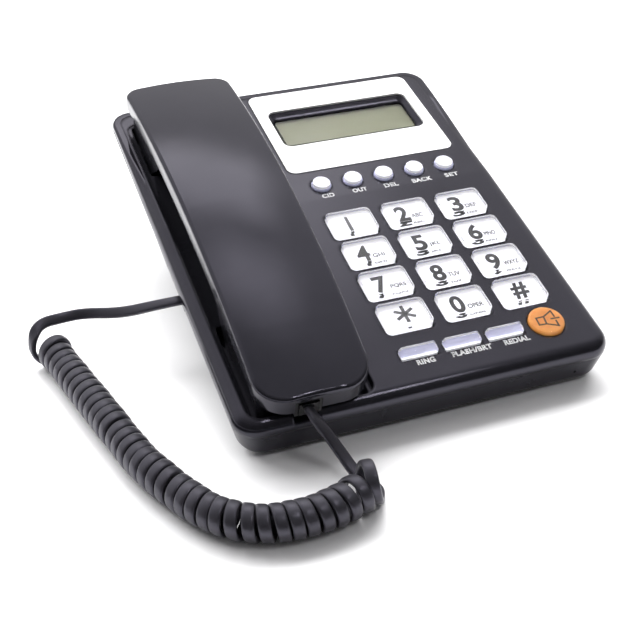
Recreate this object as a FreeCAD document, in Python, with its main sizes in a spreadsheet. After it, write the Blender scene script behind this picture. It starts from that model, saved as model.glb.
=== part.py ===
import FreeCAD, Part
import math
import os
from types import SimpleNamespace

import Sketcher

# Corded desk telephone. The case is a thin slab, tilted up on a hollow foot. Most pieces are drawn
# in the slab's own frame: U to the right, V from the front edge to the back, W square to the key
# face, with zero at the front bottom edge. The display end of the face is a few degrees flatter,
# and its pieces are drawn on that plane. Lengths are in millimetres, angles in degrees.

SIZES = [
    ("case_width", 152, "case, side to side"),
    ("case_length", 192, "case, front edge to back edge along the slab"),
    ("case_corner", 9.5, "corner radius of the case seen from above"),
    ("face_height", 16.1, "slab thickness at the keys"),
    ("parting", 10.1, "height in the slab where the two case shells meet"),
    ("tilt", 13.4, "slope of the slab over the table"),
    ("fold_at", 109.5, "crease between the key face and the display face"),
    ("fold", 2.1, "angle between those two faces"),
    ("foot_height", 1.06, "rubber feet under the case"),
    ("origin_y", 90.11, "middle of the depth, behind the slab's front bottom edge"),
    ("wall", 2.2, "side walls and floors of the case"),
    ("skin", 2.2, "top wall of the case"),
    ("lip", 5, "rounding of the case's top edge"),
    ("side_draft", 2.8, "case's sides drawn in from the parting down to the bottom"),
    ("bottom_round", 2, "rounding of the case's bottom edge"),
    ("belly_half_width", 55, "hollow foot under the slab, half its width"),
    ("belly_front", 12, "front of the hollow foot"),
    ("belly_back", 172, "back of the hollow foot"),
    ("trough_left", -70.7, "handset trough, left edge"),
    ("trough_right", -22.3, "handset trough, right edge"),
    ("trough_front", 4.2, "handset trough, front edge"),
    ("trough_back", 181.8, "handset trough, back edge"),
    ("trough_corner", 5, "handset trough, corner radius"),
    ("trough_floor", 13.1, "floor of the trough between its two wells"),
    ("well_corner", 1.5, "wells of the trough, corner radius"),
    ("tub_wall", 1.8, "walls of the trough and of its wells"),
    ("well_floor", 8.3, "floor of the wells that hold the handset's two ends"),
    ("well_half_width", 22, "wells, half width"),
    ("mouth_well_front", 6, "well for the mouthpiece end"),
    ("mouth_well_back", 53, "well for the mouthpiece end"),
    ("ear_well_front", 145, "well for the earpiece end"),
    ("ear_well_back", 180, "well for the earpiece end"),
    ("key_left", 1.9, "first column of dial keys"),
    ("key_front", 35.75, "first row of dial keys"),
    ("key_pitch_x", 25, "dial keys, column to column"),
    ("key_pitch_y", 18.33, "dial keys, row to row"),
    ("key_width", 19.75, "dial key"),
    ("key_depth", 15.1, "dial key"),
    ("key_corner", 2.2, "dial key"),
    ("key_rise", 2.25, "key top over the face"),
    ("key_round", 0.5, "rounding of the key tops"),
    ("key_gap", 0.25, "clearance round every key"),
    ("key_travel", 1.5, "stroke of every key"),
    ("flange", 1.2, "collar that keeps a key in the case, width"),
    ("flange_height", 1, "collar that keeps a key in the case, thickness"),
    ("bar_left", -0.2, "first of the three bar keys"),
    ("bar_pitch", 18.1, "bar keys, one to the next"),
    ("bar_y", 17.5, "row of bar keys"),
    ("bar_width", 15.3, "bar key"),
    ("bar_depth", 5.2, "bar key"),
    ("bar_rise", 2, "bar key over the face"),
    ("dot_left", -1.5, "first of the five round keys"),
    ("dot_pitch", 14.45, "round keys, one to the next"),
    ("dot_y", 8.5, "row of round keys, behind the crease"),
    ("dot_radius", 4.35, "round key"),
    ("dot_rise", 2.3, "round key over the face"),
    ("dot_step", 0.35, "set-back of the round key's top disc"),
    ("talk_x", 54.2, "hands-free key"),
    ("talk_y", 18.1, "hands-free key"),
    ("talk_radius", 7.2, "hands-free key"),
    ("talk_rise", 1.6, "hands-free key over the face"),
    ("plate_left", -12, "white face plate round the display"),
    ("plate_right", 66.5, "white face plate round the display"),
    ("plate_front", 19.3, "white face plate, behind the crease"),
    ("plate_back", 79.1, "white face plate, behind the crease"),
    ("plate_corner", 4, "white face plate"),
    ("plate_thickness", 0.9, "white face plate"),
    ("plate_proud", 0.1, "face plate over the case"),
    ("window_left", -7, "display opening"),
    ("window_right", 61.3, "display opening"),
    ("window_front", 38.3, "display opening, behind the crease"),
    ("window_back", 65.9, "display opening, behind the crease"),
    ("window_corner", 4, "display opening"),
    ("glass_left", -4.2, "glass seen at the foot of the bevel"),
    ("glass_right", 58.5, "glass seen at the foot of the bevel"),
    ("glass_front", 43.2, "glass seen at the foot of the bevel"),
    ("glass_back", 61.6, "glass seen at the foot of the bevel"),
    ("glass_corner", 1.5, "glass seen at the foot of the bevel"),
    ("glass_depth", 3, "glass under the display face"),
    ("glass_margin", 1.7, "hidden rim of the glass"),
    ("glass_thickness", 1, "display window"),
    ("module_thickness", 3, "display module"),
    ("module_rim", 4, "display module beyond the glass seen, front and back"),
    ("board_thickness", 1.6, "circuit boards"),
    ("mat_thickness", 0.8, "rubber key mats"),
    ("dome_radius", 3, "rubber dome under each key"),
    ("dome_gap", 0.2, "key to dome at the end of the stroke"),
    ("key_board_top", 9.5, "height of the key board's top in the slab"),
    ("main_board_top", -6, "height of the main board's top under the slab"),
    ("screw_radius", 1.3, "case screws"),
    ("screw_head", 2.6, "case screws, head radius"),
    ("screw_head_height", 1.8, "case screws"),
    ("screw_gap", 0.05, "round each screw in its pilot hole"),
    ("small_screw_radius", 0.9, "board screws"),
    ("small_screw_head", 1.8, "board screws, head radius"),
    ("small_screw_head_height", 1.1, "board screws"),
    ("post_radius", 3.2, "screw posts of the upper case"),
    ("boss_radius", 4.2, "screw bosses of the lower case"),
    ("post_joint", 7.3, "height in the slab where posts and bosses meet"),
    ("small_post_radius", 2.2, "posts that carry the boards"),
    ("handset_x", -46.5, "centre line of the handset"),
    ("handset_front", 0.5, "mouthpiece end of the handset"),
    ("handset_back", 186.5, "earpiece end of the handset"),
    ("handset_front_width", 43.5, "handset, mouthpiece end"),
    ("handset_back_width", 47, "handset, earpiece end"),
    ("handset_front_corner", 12, "handset seen from above"),
    ("handset_back_corner", 6.5, "handset seen from above"),
    ("arch_radius", 430, "arch of the handset's top edge"),
    ("arch_at", 100, "highest point of that arch, from the front"),
    ("arch_top", 37.35, "height of the arch in the slab"),
    ("crown_radius", 200, "handset's top across its width"),
    ("band", 6, "side band of the handset's cover"),
    ("cover_round", 1.6, "rounding of the cover's top edge"),
    ("handset_wall", 2, "walls of the handset"),
    ("shell_inset", 2.5, "handset's lower shell, inside its cover's outline"),
    ("lip_front_height", 16.6, "underside of the handset's front lip"),
    ("lip_back_height", 14.6, "underside of the handset's back lip"),
    ("cup_front", 7.5, "mouthpiece cup"),
    ("cup_slope_front", 46, "mouthpiece cup, where its slope starts"),
    ("grip_front", 62, "grip of the handset"),
    ("grip_back", 138, "grip of the handset"),
    ("cup_slope_back", 152, "earpiece cup, where its slope starts"),
    ("cup_back", 179.7, "earpiece cup"),
    ("grip_height", 22.6, "underside of the grip"),
    ("hook_stroke", 4, "stroke of the hook plunger"),
    ("hook_y", 160, "hook plunger"),
    ("hook_width", 7, "hook plunger"),
    ("hook_depth", 5, "hook plunger"),
    ("plug_width", 7.6, "cord plugs"),
    ("plug_height", 5.5, "cord plugs"),
    ("plug_length", 12.7, "cord plugs"),
    ("plug_gap", 0.15, "clearance round a plug in its socket"),
    ("plug_proud", 0.9, "cord plug outside its socket"),
    ("socket_width", 10, "cord sockets"),
    ("socket_height", 7.2, "cord sockets"),
    ("socket_length", 15, "cord sockets"),
    ("handset_socket_x", -50.5, "cord socket in the handset"),
    ("handset_socket_bottom", 17.3, "cord socket in the handset"),
    ("base_socket_y", 76.8, "cord socket in the case's left side"),
    ("base_socket_bottom", 2.9, "cord socket in the case's left side"),
    ("base_socket_set_back", 2.4, "that socket's face, inside the case's side"),
    ("line_socket_x", 38, "wall line socket in the back of the hollow foot"),
    ("line_socket_width", 13, "wall line socket"),
    ("line_socket_height", 11.5, "wall line socket"),
    ("line_socket_length", 14, "wall line socket"),
    ("line_mouth_width", 9.8, "opening of the wall line socket"),
    ("line_mouth_height", 7, "opening of the wall line socket"),
    ("cell_radius", 5.25, "batteries"),
    ("cell_length", 44.5, "batteries"),
    ("cell_pitch", 10.9, "batteries, one to the next"),
    ("cells_y", 148, "middle battery, behind the slab's front edge on the table"),
    ("hatch_half_width", 24, "battery opening"),
    ("hatch_margin", 6.1, "battery opening, from the middle of the outer cells"),
    ("door_thickness", 1.9, "battery door"),
    ("door_gap", 0.2, "clearance round the battery door"),
    ("door_lip", 3, "battery door beyond its opening"),
    ("ledge", 2, "rim round the battery opening, thickness"),
    ("box_wall", 1.6, "walls of the battery box"),
    ("foot_radius", 5, "rubber feet"),
    ("foot_recess", 0.9, "seat of the rubber feet"),
    ("feet_x", 45, "rubber feet"),
    ("front_feet_y", 24, "rubber feet, behind the slab's front edge on the table"),
    ("back_feet_y", 162, "rubber feet, behind the slab's front edge on the table"),
    ("speaker_x", 20, "loudspeaker"),
    ("speaker_y", 98, "loudspeaker"),
    ("speaker_radius", 20, "loudspeaker"),
    ("speaker_height", 8, "loudspeaker"),
    ("mic_x", 60, "hands-free microphone behind the front wall"),
    ("mic_radius", 2.8, "hands-free microphone"),
    ("receiver_y", 166, "receiver in the earpiece cup"),
    ("receiver_radius", 11.5, "receiver"),
    ("microphone_y", 26, "microphone in the mouthpiece cup"),
    ("microphone_radius", 4.85, "microphone in the mouthpiece cup"),
    ("cord_radius", 1.7, "cord, as a round wire of its real section"),
    ("coil_radius", 4.85, "curly part of the cord, middle of the wire"),
]


class Size:
    """A size with its present value and the expression on the sheet that it comes from."""

    def __init__(self, value, text):
        self.value = float(value)
        self.text = text

    def __add__(self, other):
        return combine(self, other, "+", lambda a, b: a + b)

    def __radd__(self, other):
        return combine(other, self, "+", lambda a, b: a + b)

    def __sub__(self, other):
        return combine(self, other, "-", lambda a, b: a - b)

    def __rsub__(self, other):
        return combine(other, self, "-", lambda a, b: a - b)

    def __mul__(self, other):
        return combine(self, other, "*", lambda a, b: a * b)

    def __rmul__(self, other):
        return combine(other, self, "*", lambda a, b: a * b)

    def __truediv__(self, other):
        return combine(self, other, "/", lambda a, b: a / b)

    def __neg__(self):
        return Size(-self.value, f"(-{self.text})")


def number(size):
    return size.value if isinstance(size, Size) else float(size)


def wording(size):
    return size.text if isinstance(size, Size) else repr(float(size))


def combine(first, second, sign, work):
    return Size(work(number(first), number(second)), f"({wording(first)} {sign} {wording(second)})")


def sine(angle):
    return Size(math.sin(math.radians(number(angle))), f"sin({wording(angle)} * 1 deg)")


def cosine(angle):
    return Size(math.cos(math.radians(number(angle))), f"cos({wording(angle)} * 1 deg)")


def tangent(angle):
    return Size(math.tan(math.radians(number(angle))), f"tan({wording(angle)} * 1 deg)")


def root(size):
    return Size(math.sqrt(number(size)), f"sqrt({wording(size)})")


ZERO = Size(0, "0")

doc = FreeCAD.newDocument("DeskTelephone")
sheet = doc.addObject("Spreadsheet::Sheet", "Sizes")
for row, (size_name, size_value, meaning) in enumerate(SIZES, start=1):
    sheet.set(f"A{row}", size_name)
    sheet.set(f"B{row}", str(size_value))
    sheet.set(f"C{row}", meaning)
    sheet.setAlias(f"B{row}", size_name)
doc.recompute()
s = SimpleNamespace(**{name: Size(value, f"Sizes.{name}") for name, value, meaning in SIZES})

# Heights and places that follow from the sizes
ceiling = s.face_height - s.skin
flange_bottom = ceiling - s.flange_height
key_board_bottom = s.key_board_top - s.board_thickness
main_board_bottom = s.main_board_top - s.board_thickness
tub_bottom = s.trough_floor - s.tub_wall
half_width = s.case_width / 2
arch_centre = s.arch_top - s.arch_radius
module_depth = s.glass_depth + s.glass_thickness
display_board_depth = module_depth + s.module_thickness
handset_socket_axis = s.handset_socket_bottom + s.socket_height / 2
base_socket_axis = s.base_socket_bottom + s.socket_height / 2
belly_floor_top = s.foot_height + s.wall
base_socket_left = s.base_socket_set_back - half_width
handset_socket_front = s.handset_front + 0.2
base_plug_end = base_socket_left - s.plug_proud
handset_plug_end = handset_socket_front - s.plug_proud
cup_floor = s.well_floor + s.handset_wall
grip_floor = s.grip_height + s.handset_wall
handset_post_top = s.arch_top - 0.9
hook_collar = 1.2
hook_switch_top = s.well_floor - s.tub_wall - 0.2 - s.hook_stroke - 0.4 - hook_collar
hatch_front = s.cells_y - s.cell_pitch - s.hatch_margin
hatch_back = s.cells_y + s.cell_pitch + s.hatch_margin
rebate_top = s.foot_height + s.door_thickness + s.door_gap
ledge_top = rebate_top + s.ledge
box_x = s.hatch_half_width + 2
box_top = s.foot_height + s.door_thickness + s.cell_radius * 2 + 2


def face_fall(v):
    """How far the display face has dropped below the key face at V."""
    return (v - s.fold_at) * tangent(s.fold)


# Planes to sketch on. Each has a body plane, an offset (y, z) with a turn about X, and the way in
# which its distances are counted along its normal.
SLAB = SimpleNamespace(role="XY_Plane", y=0, z=0, turn=0, sign=1)
DISPLAY = SimpleNamespace(role="XY_Plane", y=s.fold_at, z=s.face_height, turn=-s.fold, sign=1)
LEVEL = SimpleNamespace(
    role="XY_Plane",
    y=-(s.foot_height * sine(s.tilt)),
    z=-(s.foot_height * cosine(s.tilt)),
    turn=-s.tilt,
    sign=1,
)
SIDE = SimpleNamespace(role="YZ_Plane", y=0, z=0, turn=0, sign=1)
FRONT = SimpleNamespace(role="XZ_Plane", y=0, z=0, turn=0, sign=-1)


def bind(thing, path, size):
    if isinstance(size, Size):
        thing.setExpression(path, size.text)


def dimension(sketch, constraint, size):
    index = sketch.addConstraint(constraint)
    if isinstance(size, Size):
        sketch.renameConstraint(index, f"size{index}")
        bind(sketch, f"Constraints.size{index}", size)


def fix_x(sketch, item, end, x):
    dimension(sketch, Sketcher.Constraint("DistanceX", -1, 1, item, end, number(x)), x)


def fix_y(sketch, item, end, y):
    dimension(sketch, Sketcher.Constraint("DistanceY", -1, 1, item, end, number(y)), y)


def line(sketch, start, end):
    first = FreeCAD.Vector(number(start[0]), number(start[1]), 0)
    second = FreeCAD.Vector(number(end[0]), number(end[1]), 0)
    return sketch.addGeometry(Part.LineSegment(first, second))


def arc(sketch, x, y, radius, start, end):
    whole = Part.Circle(FreeCAD.Vector(number(x), number(y), 0), FreeCAD.Vector(0, 0, 1), number(radius))
    return sketch.addGeometry(Part.ArcOfCircle(whole, math.radians(start), math.radians(end)))


def rectangle(x0, y0, x1, y1, corner=None):
    """A rectangle, with rounded corners if a radius is given."""

    def sharp(sketch):
        corners = [(x0, y0), (x1, y0), (x1, y1), (x0, y1)]
        sides = [line(sketch, corners[i], corners[(i + 1) % 4]) for i in range(4)]
        for i in range(4):
            sketch.addConstraint(Sketcher.Constraint("Coincident", sides[i], 2, sides[(i + 1) % 4], 1))
        return sides

    def rounded(sketch):
        sides = [
            line(sketch, (x0 + corner, y0), (x1 - corner, y0)),
            line(sketch, (x1, y0 + corner), (x1, y1 - corner)),
            line(sketch, (x1 - corner, y1), (x0 + corner, y1)),
            line(sketch, (x0, y1 - corner), (x0, y0 + corner)),
        ]
        turns = [
            arc(sketch, x1 - corner, y0 + corner, corner, 270, 360),
            arc(sketch, x1 - corner, y1 - corner, corner, 0, 90),
            arc(sketch, x0 + corner, y1 - corner, corner, 90, 180),
            arc(sketch, x0 + corner, y0 + corner, corner, 180, 270),
        ]
        for i in range(4):
            sketch.addConstraint(Sketcher.Constraint("Tangent", sides[i], 2, turns[i], 1))
            sketch.addConstraint(Sketcher.Constraint("Tangent", turns[i], 2, sides[(i + 1) % 4], 1))
        for turn in turns[1:]:
            sketch.addConstraint(Sketcher.Constraint("Equal", turns[0], turn))
        dimension(sketch, Sketcher.Constraint("Radius", turns[0], number(corner)), corner)
        return sides

    def draw(sketch):
        bottom, right, top, left = sharp(sketch) if corner is None else rounded(sketch)
        for level_side in (bottom, top):
            sketch.addConstraint(Sketcher.Constraint("Horizontal", level_side))
        for upright_side in (right, left):
            sketch.addConstraint(Sketcher.Constraint("Vertical", upright_side))
        fix_x(sketch, left, 1, x0)
        fix_x(sketch, right, 1, x1)
        fix_y(sketch, bottom, 1, y0)
        fix_y(sketch, top, 1, y1)

    return draw


def square(x, y, width, depth, corner=None):
    """A rectangle given by its middle and size."""
    return rectangle(x - width / 2, y - depth / 2, x + width / 2, y + depth / 2, corner)


def circle(x, y, radius):
    def draw(sketch):
        centre = FreeCAD.Vector(number(x), number(y), 0)
        ring = sketch.addGeometry(Part.Circle(centre, FreeCAD.Vector(0, 0, 1), number(radius)))
        fix_x(sketch, ring, 3, x)
        fix_y(sketch, ring, 3, y)
        dimension(sketch, Sketcher.Constraint("Radius", ring, number(radius)), radius)

    return draw


def polygon(points):
    def draw(sketch):
        count = len(points)
        sides = [line(sketch, points[i], points[(i + 1) % count]) for i in range(count)]
        for i in range(count):
            sketch.addConstraint(Sketcher.Constraint("Coincident", sides[i], 2, sides[(i + 1) % count], 1))
            fix_x(sketch, sides[i], 1, points[i][0])
            fix_y(sketch, sides[i], 1, points[i][1])

    return draw


def arched(first_x, points, last_x, centre_x, centre_y, radius):
    """Straight runs from first_x on an arc, through the points, to last_x on it, closed by the arc."""

    def on_arc(x):
        return number(centre_y) + math.sqrt(number(radius) ** 2 - (number(x) - number(centre_x)) ** 2)

    def draw(sketch):
        stops = [(first_x, on_arc(first_x))] + points + [(last_x, on_arc(last_x))]
        sides = [line(sketch, stops[i], stops[i + 1]) for i in range(len(stops) - 1)]
        angles = [
            math.degrees(math.atan2(on_arc(x) - number(centre_y), number(x) - number(centre_x)))
            for x in (last_x, first_x)
        ]
        top = arc(sketch, centre_x, centre_y, radius, angles[0], angles[1])
        for i in range(len(sides) - 1):
            sketch.addConstraint(Sketcher.Constraint("Coincident", sides[i], 2, sides[i + 1], 1))
            fix_x(sketch, sides[i], 2, stops[i + 1][0])
            fix_y(sketch, sides[i], 2, stops[i + 1][1])
        sketch.addConstraint(Sketcher.Constraint("Coincident", sides[-1], 2, top, 1))
        sketch.addConstraint(Sketcher.Constraint("Coincident", top, 2, sides[0], 1))
        fix_x(sketch, sides[0], 1, first_x)
        fix_x(sketch, sides[-1], 2, last_x)
        fix_x(sketch, top, 3, centre_x)
        fix_y(sketch, top, 3, centre_y)
        dimension(sketch, Sketcher.Constraint("Radius", top, number(radius)), radius)

    return draw


def place(thing, y, z, angle):
    """Places a thing by a turn about X and a shift, all bound to the sheet."""
    base = FreeCAD.Vector(0, number(y), number(z))
    thing.Placement = FreeCAD.Placement(base, FreeCAD.Rotation(FreeCAD.Vector(1, 0, 0), number(angle)))
    bind(thing, "Placement.Base.y", y)
    bind(thing, "Placement.Base.z", z)
    bind(thing, "Placement.Rotation.Angle", angle)


def place_in_slab(thing):
    place(thing, -s.origin_y, s.foot_height, s.tilt)


def new_body(label):
    body = doc.addObject("PartDesign::Body", label)
    body.Label = label
    return body


def sketch_on(body, plane, lift, outlines):
    sketch = body.newObject("Sketcher::SketchObject", f"{body.Name}_sketch")
    origin_plane = [item for item in body.Origin.OriginFeatures if item.Role == plane.role][0]
    sketch.AttachmentSupport = [(origin_plane, "")]
    sketch.MapMode = "FlatFace"
    turn = FreeCAD.Rotation(FreeCAD.Vector(1, 0, 0), number(plane.turn))
    sketch.AttachmentOffset = FreeCAD.Placement(FreeCAD.Vector(0, 0, 0), turn)
    bind(sketch, "AttachmentOffset.Rotation.Angle", plane.turn)
    y = ZERO + plane.y - lift * sine(plane.turn)
    z = ZERO + plane.z + lift * cosine(plane.turn)
    bind(sketch, "AttachmentOffset.Base.y", y)
    bind(sketch, "AttachmentOffset.Base.z", z)
    for outline in outlines:
        outline(sketch)
    return sketch


def add(body, plane, low, high, *outlines):
    """Adds what the outlines enclose, from low to high along the plane's axis."""
    sketch = sketch_on(body, plane, low if plane.sign > 0 else -high, outlines)
    pad = body.newObject("PartDesign::Pad", f"{body.Name}_pad")
    pad.Profile = sketch
    pad.Refine = False
    bind(pad, "Length", ZERO + high - low)
    return pad


def cut(body, plane, low, high, *outlines):
    """Cuts what the outlines enclose, from low to high along the plane's axis."""
    sketch = sketch_on(body, plane, high if plane.sign > 0 else -low, outlines)
    pocket = body.newObject("PartDesign::Pocket", f"{body.Name}_pocket")
    pocket.Profile = sketch
    pocket.Refine = False
    bind(pocket, "Length", ZERO + high - low)
    return pocket


def round_edges(body, radius, wanted):
    """Rounds the edges whose middle passes the test."""
    doc.recompute()
    before = body.Tip
    names = []
    for index, edge in enumerate(before.Shape.Edges, start=1):
        if wanted(edge, edge.CenterOfMass):
            names.append(f"Edge{index}")
    fillet = body.newObject("PartDesign::Fillet", f"{body.Name}_fillet")
    fillet.Base = (before, names)
    bind(fillet, "Radius", radius)
    return fillet


# Where the pieces repeat
KEY_NAMES = [["star", "0", "hash"], ["7", "8", "9"], ["4", "5", "6"], ["1", "2", "3"]]
keys = [
    (f"key_{name}", s.key_left + s.key_pitch_x * column, s.key_front + s.key_pitch_y * row)
    for row, names in enumerate(KEY_NAMES)
    for column, name in enumerate(names)
]
BAR_NAMES = ["ring", "flash", "redial"]
bars = [(f"key_{name}", s.bar_left + s.bar_pitch * i) for i, name in enumerate(BAR_NAMES)]
DOT_NAMES = ["cid", "out", "delete", "back", "set"]
dots = [(f"key_{name}", s.dot_left + s.dot_pitch * i) for i, name in enumerate(DOT_NAMES)]

side_screw_x = half_width - 8.2
case_screws = [
    (side_screw_x, 30, ceiling),
    (side_screw_x, 95, ceiling),
    (side_screw_x, s.case_length - 27, ceiling - face_fall(s.case_length - 27)),
    (-half_width + 12, 66, tub_bottom),
    (-half_width + 12, 130, tub_bottom),
    (0, s.case_length - 11, ceiling - face_fall(s.case_length - 11)),
    (10, 7, ceiling),
]
key_board_screws = [(-13.5, 24.2), (42.5, 24.2), (-13.5, 101.9), (55.5, 101.9)]
display_board_screws = [(-10, 24), (-10, 52), (59.5, 24)]
main_board_screws = [(-46, 94), (46, 94), (-48.5, 146), (48.5, 164)]
handset_screws = [s.grip_front + 4, s.grip_back - 4]
post_root = 0.6
foot_places = [
    (-s.feet_x, s.front_feet_y),
    (s.feet_x, s.front_feet_y),
    (-s.feet_x, s.back_feet_y),
    (s.feet_x, s.back_feet_y),
]


def upper_case():
    body = new_body("upper_case")
    slab = rectangle(-half_width, 0, half_width, s.case_length, s.case_corner)
    add(body, SLAB, s.parting, s.face_height, slab)
    # hollow, with a ceiling that follows the two faces
    back = s.case_length - s.case_corner
    hollow = polygon(
        [
            (s.case_corner, s.parting - 1),
            (s.case_corner, ceiling),
            (s.fold_at, ceiling),
            (back, ceiling - face_fall(back)),
            (back, s.parting - 1),
        ]
    )
    cut(body, SIDE, s.wall - half_width, half_width - s.wall, hollow)
    inner_x = half_width - s.case_corner
    cut(body, SLAB, s.parting - 1, ceiling, rectangle(-inner_x, s.wall, inner_x, s.case_corner + 0.1))
    # tub of the handset trough, and its two wells
    tub = rectangle(
        s.trough_left - 1.3,
        s.trough_front - s.tub_wall,
        s.trough_right + s.tub_wall,
        s.trough_back + s.tub_wall,
        s.trough_corner + s.tub_wall,
    )
    add(body, SLAB, tub_bottom, s.face_height, tub)
    well_x = s.well_half_width + s.tub_wall
    for front, rear in ((s.mouth_well_front, s.mouth_well_back), (s.ear_well_front, s.ear_well_back)):
        outside = rectangle(
            s.handset_x - well_x,
            front - s.tub_wall,
            s.handset_x + well_x,
            rear + s.tub_wall,
            s.well_corner + s.tub_wall,
        )
        add(body, SLAB, s.well_floor - s.tub_wall - 0.2, tub_bottom + post_root, outside)
    # posts for the case screws, for the boards and over the cord socket
    for x, y, top in case_screws:
        add(body, SLAB, s.post_joint, top + post_root, circle(x, y, s.post_radius))
    board_posts = [circle(x, y, s.small_post_radius) for x, y in key_board_screws]
    add(body, SLAB, s.key_board_top, ceiling + post_root, *board_posts)
    display_posts = [circle(x, y, s.small_post_radius) for x, y in display_board_screws]
    add(body, DISPLAY, -display_board_depth, post_root - s.skin, *display_posts)
    socket_block = rectangle(
        base_socket_left + 4,
        s.base_socket_y - s.socket_width / 2,
        base_socket_left + s.socket_length,
        s.base_socket_y + s.socket_width / 2,
    )
    add(body, SLAB, s.base_socket_bottom + s.socket_height, tub_bottom + post_root, socket_block)
    # rim that the display glass lies against
    frame_margin = s.glass_margin + 1.5
    glass_frame = rectangle(
        s.glass_left - frame_margin,
        s.glass_front - frame_margin - 2,
        s.glass_right + frame_margin,
        s.glass_back + frame_margin + 2,
    )
    add(body, DISPLAY, -s.glass_depth, post_root - s.skin, glass_frame)
    # display face, and the rounded lip
    past = s.case_length + 5
    wedge = polygon(
        [
            (s.fold_at, s.face_height),
            (past, s.face_height - face_fall(past)),
            (past, s.face_height + 5),
            (s.fold_at, s.face_height + 5),
        ]
    )
    cut(body, SIDE, -half_width - 1, half_width + 1, wedge)
    edge_x = number(half_width) - 0.1
    back_y = number(s.case_length) - 0.1
    corner_reach = number(s.case_corner)

    def on_lip(edge, middle):
        outside_x = abs(middle.x) > edge_x
        outside_y = middle.y < 0.1 or middle.y > back_y
        at_corner = (
            abs(middle.x) > number(half_width) - corner_reach * 0.5
            and (middle.y < corner_reach * 0.5 or middle.y > number(s.case_length) - corner_reach * 0.5)
        )
        flat = edge.BoundBox.ZLength < abs(edge.BoundBox.YLength) * 0.1 + 0.5
        return middle.z > number(s.parting) + 1 and flat and (outside_x or outside_y or at_corner)

    round_edges(body, s.lip, on_lip)
    # trough, wells and the cord's notch in the front rim
    trough = rectangle(s.trough_left, s.trough_front, s.trough_right, s.trough_back, s.trough_corner)
    cut(body, SLAB, s.trough_floor, s.face_height + 1, trough)
    for front, rear in ((s.mouth_well_front, s.mouth_well_back), (s.ear_well_front, s.ear_well_back)):
        middle = (front + rear) / 2
        inside = square(s.handset_x, middle, s.well_half_width * 2, rear - front, s.well_corner)
        cut(body, SLAB, s.well_floor, s.face_height + 1, inside)
    notch = square(s.handset_socket_x, s.trough_front / 2, s.socket_width - 0.4, s.trough_front + 2)
    cut(body, SLAB, s.trough_floor, s.face_height + 1, notch)
    hook_hole = square(s.handset_x, s.hook_y, s.hook_width + 0.4, s.hook_depth + 0.4)
    cut(body, SLAB, s.well_floor - s.tub_wall - 1, s.well_floor + 1, hook_hole)
    # openings for the keys
    gap = s.key_gap * 2
    for row in (keys[:3], keys[3:6], keys[6:9], keys[9:]):
        width = s.key_width + gap
        depth = s.key_depth + gap
        openings = [square(x, y, width, depth, s.key_corner + s.key_gap) for name, x, y in row]
        cut(body, SLAB, ceiling - 1, s.face_height + 1, *openings)
    bar_openings = [square(x, s.bar_y, s.bar_width + gap, s.bar_depth + gap) for name, x in bars]
    cut(body, SLAB, ceiling - 1, s.face_height + 1, *bar_openings)
    cut(body, SLAB, ceiling - 1, s.face_height + 1, circle(s.talk_x, s.talk_y, s.talk_radius + s.key_gap))
    dot_openings = [circle(x, s.dot_y, s.dot_radius + s.key_gap) for name, x in dots]
    cut(body, DISPLAY, -s.skin - 1, 1, *dot_openings)
    # seat of the face plate, and the bevelled display opening
    recess = rectangle(
        s.plate_left - 0.1,
        s.plate_front - 0.1,
        s.plate_right + 0.1,
        s.plate_back + 0.1,
        s.plate_corner,
    )
    recess_depth = s.plate_thickness - s.plate_proud
    cut(body, DISPLAY, -recess_depth, 1, recess)
    mouth = rectangle(s.window_left, s.window_front, s.window_right, s.window_back, s.window_corner)
    throat = rectangle(s.glass_left, s.glass_front, s.glass_right, s.glass_back, s.glass_corner)
    funnel = body.newObject("PartDesign::SubtractiveLoft", "display_bevel")
    funnel.Profile = sketch_on(body, DISPLAY, -recess_depth, [mouth])
    funnel.Sections = [sketch_on(body, DISPLAY, -s.glass_depth, [throat])]
    # pilot holes
    pilot = s.screw_radius + s.screw_gap
    for x, y, top in case_screws:
        cut(body, SLAB, s.post_joint - 1, top - 0.4, circle(x, y, pilot))
    small_pilot = s.small_screw_radius + s.screw_gap
    pilots = [circle(x, y, small_pilot) for x, y in key_board_screws]
    cut(body, SLAB, s.key_board_top - 1, ceiling - 0.4, *pilots)
    display_pilots = [circle(x, y, small_pilot) for x, y in display_board_screws]
    cut(body, DISPLAY, -display_board_depth - 1, -s.skin - 0.4, *display_pilots)
    place_in_slab(body)
    return body


BOTTOM_STEPS = [(0, 1), (0.134, 0.5), (0.5, 0.134), (1, 0)]


def drawn_in(height, inset):
    """Outline of the lower case at a height, set in by inset."""
    half = half_width - s.side_draft * (1 - height / s.parting) - inset
    return rectangle(-half, inset, half, s.case_length - inset, s.case_corner - inset)


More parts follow.
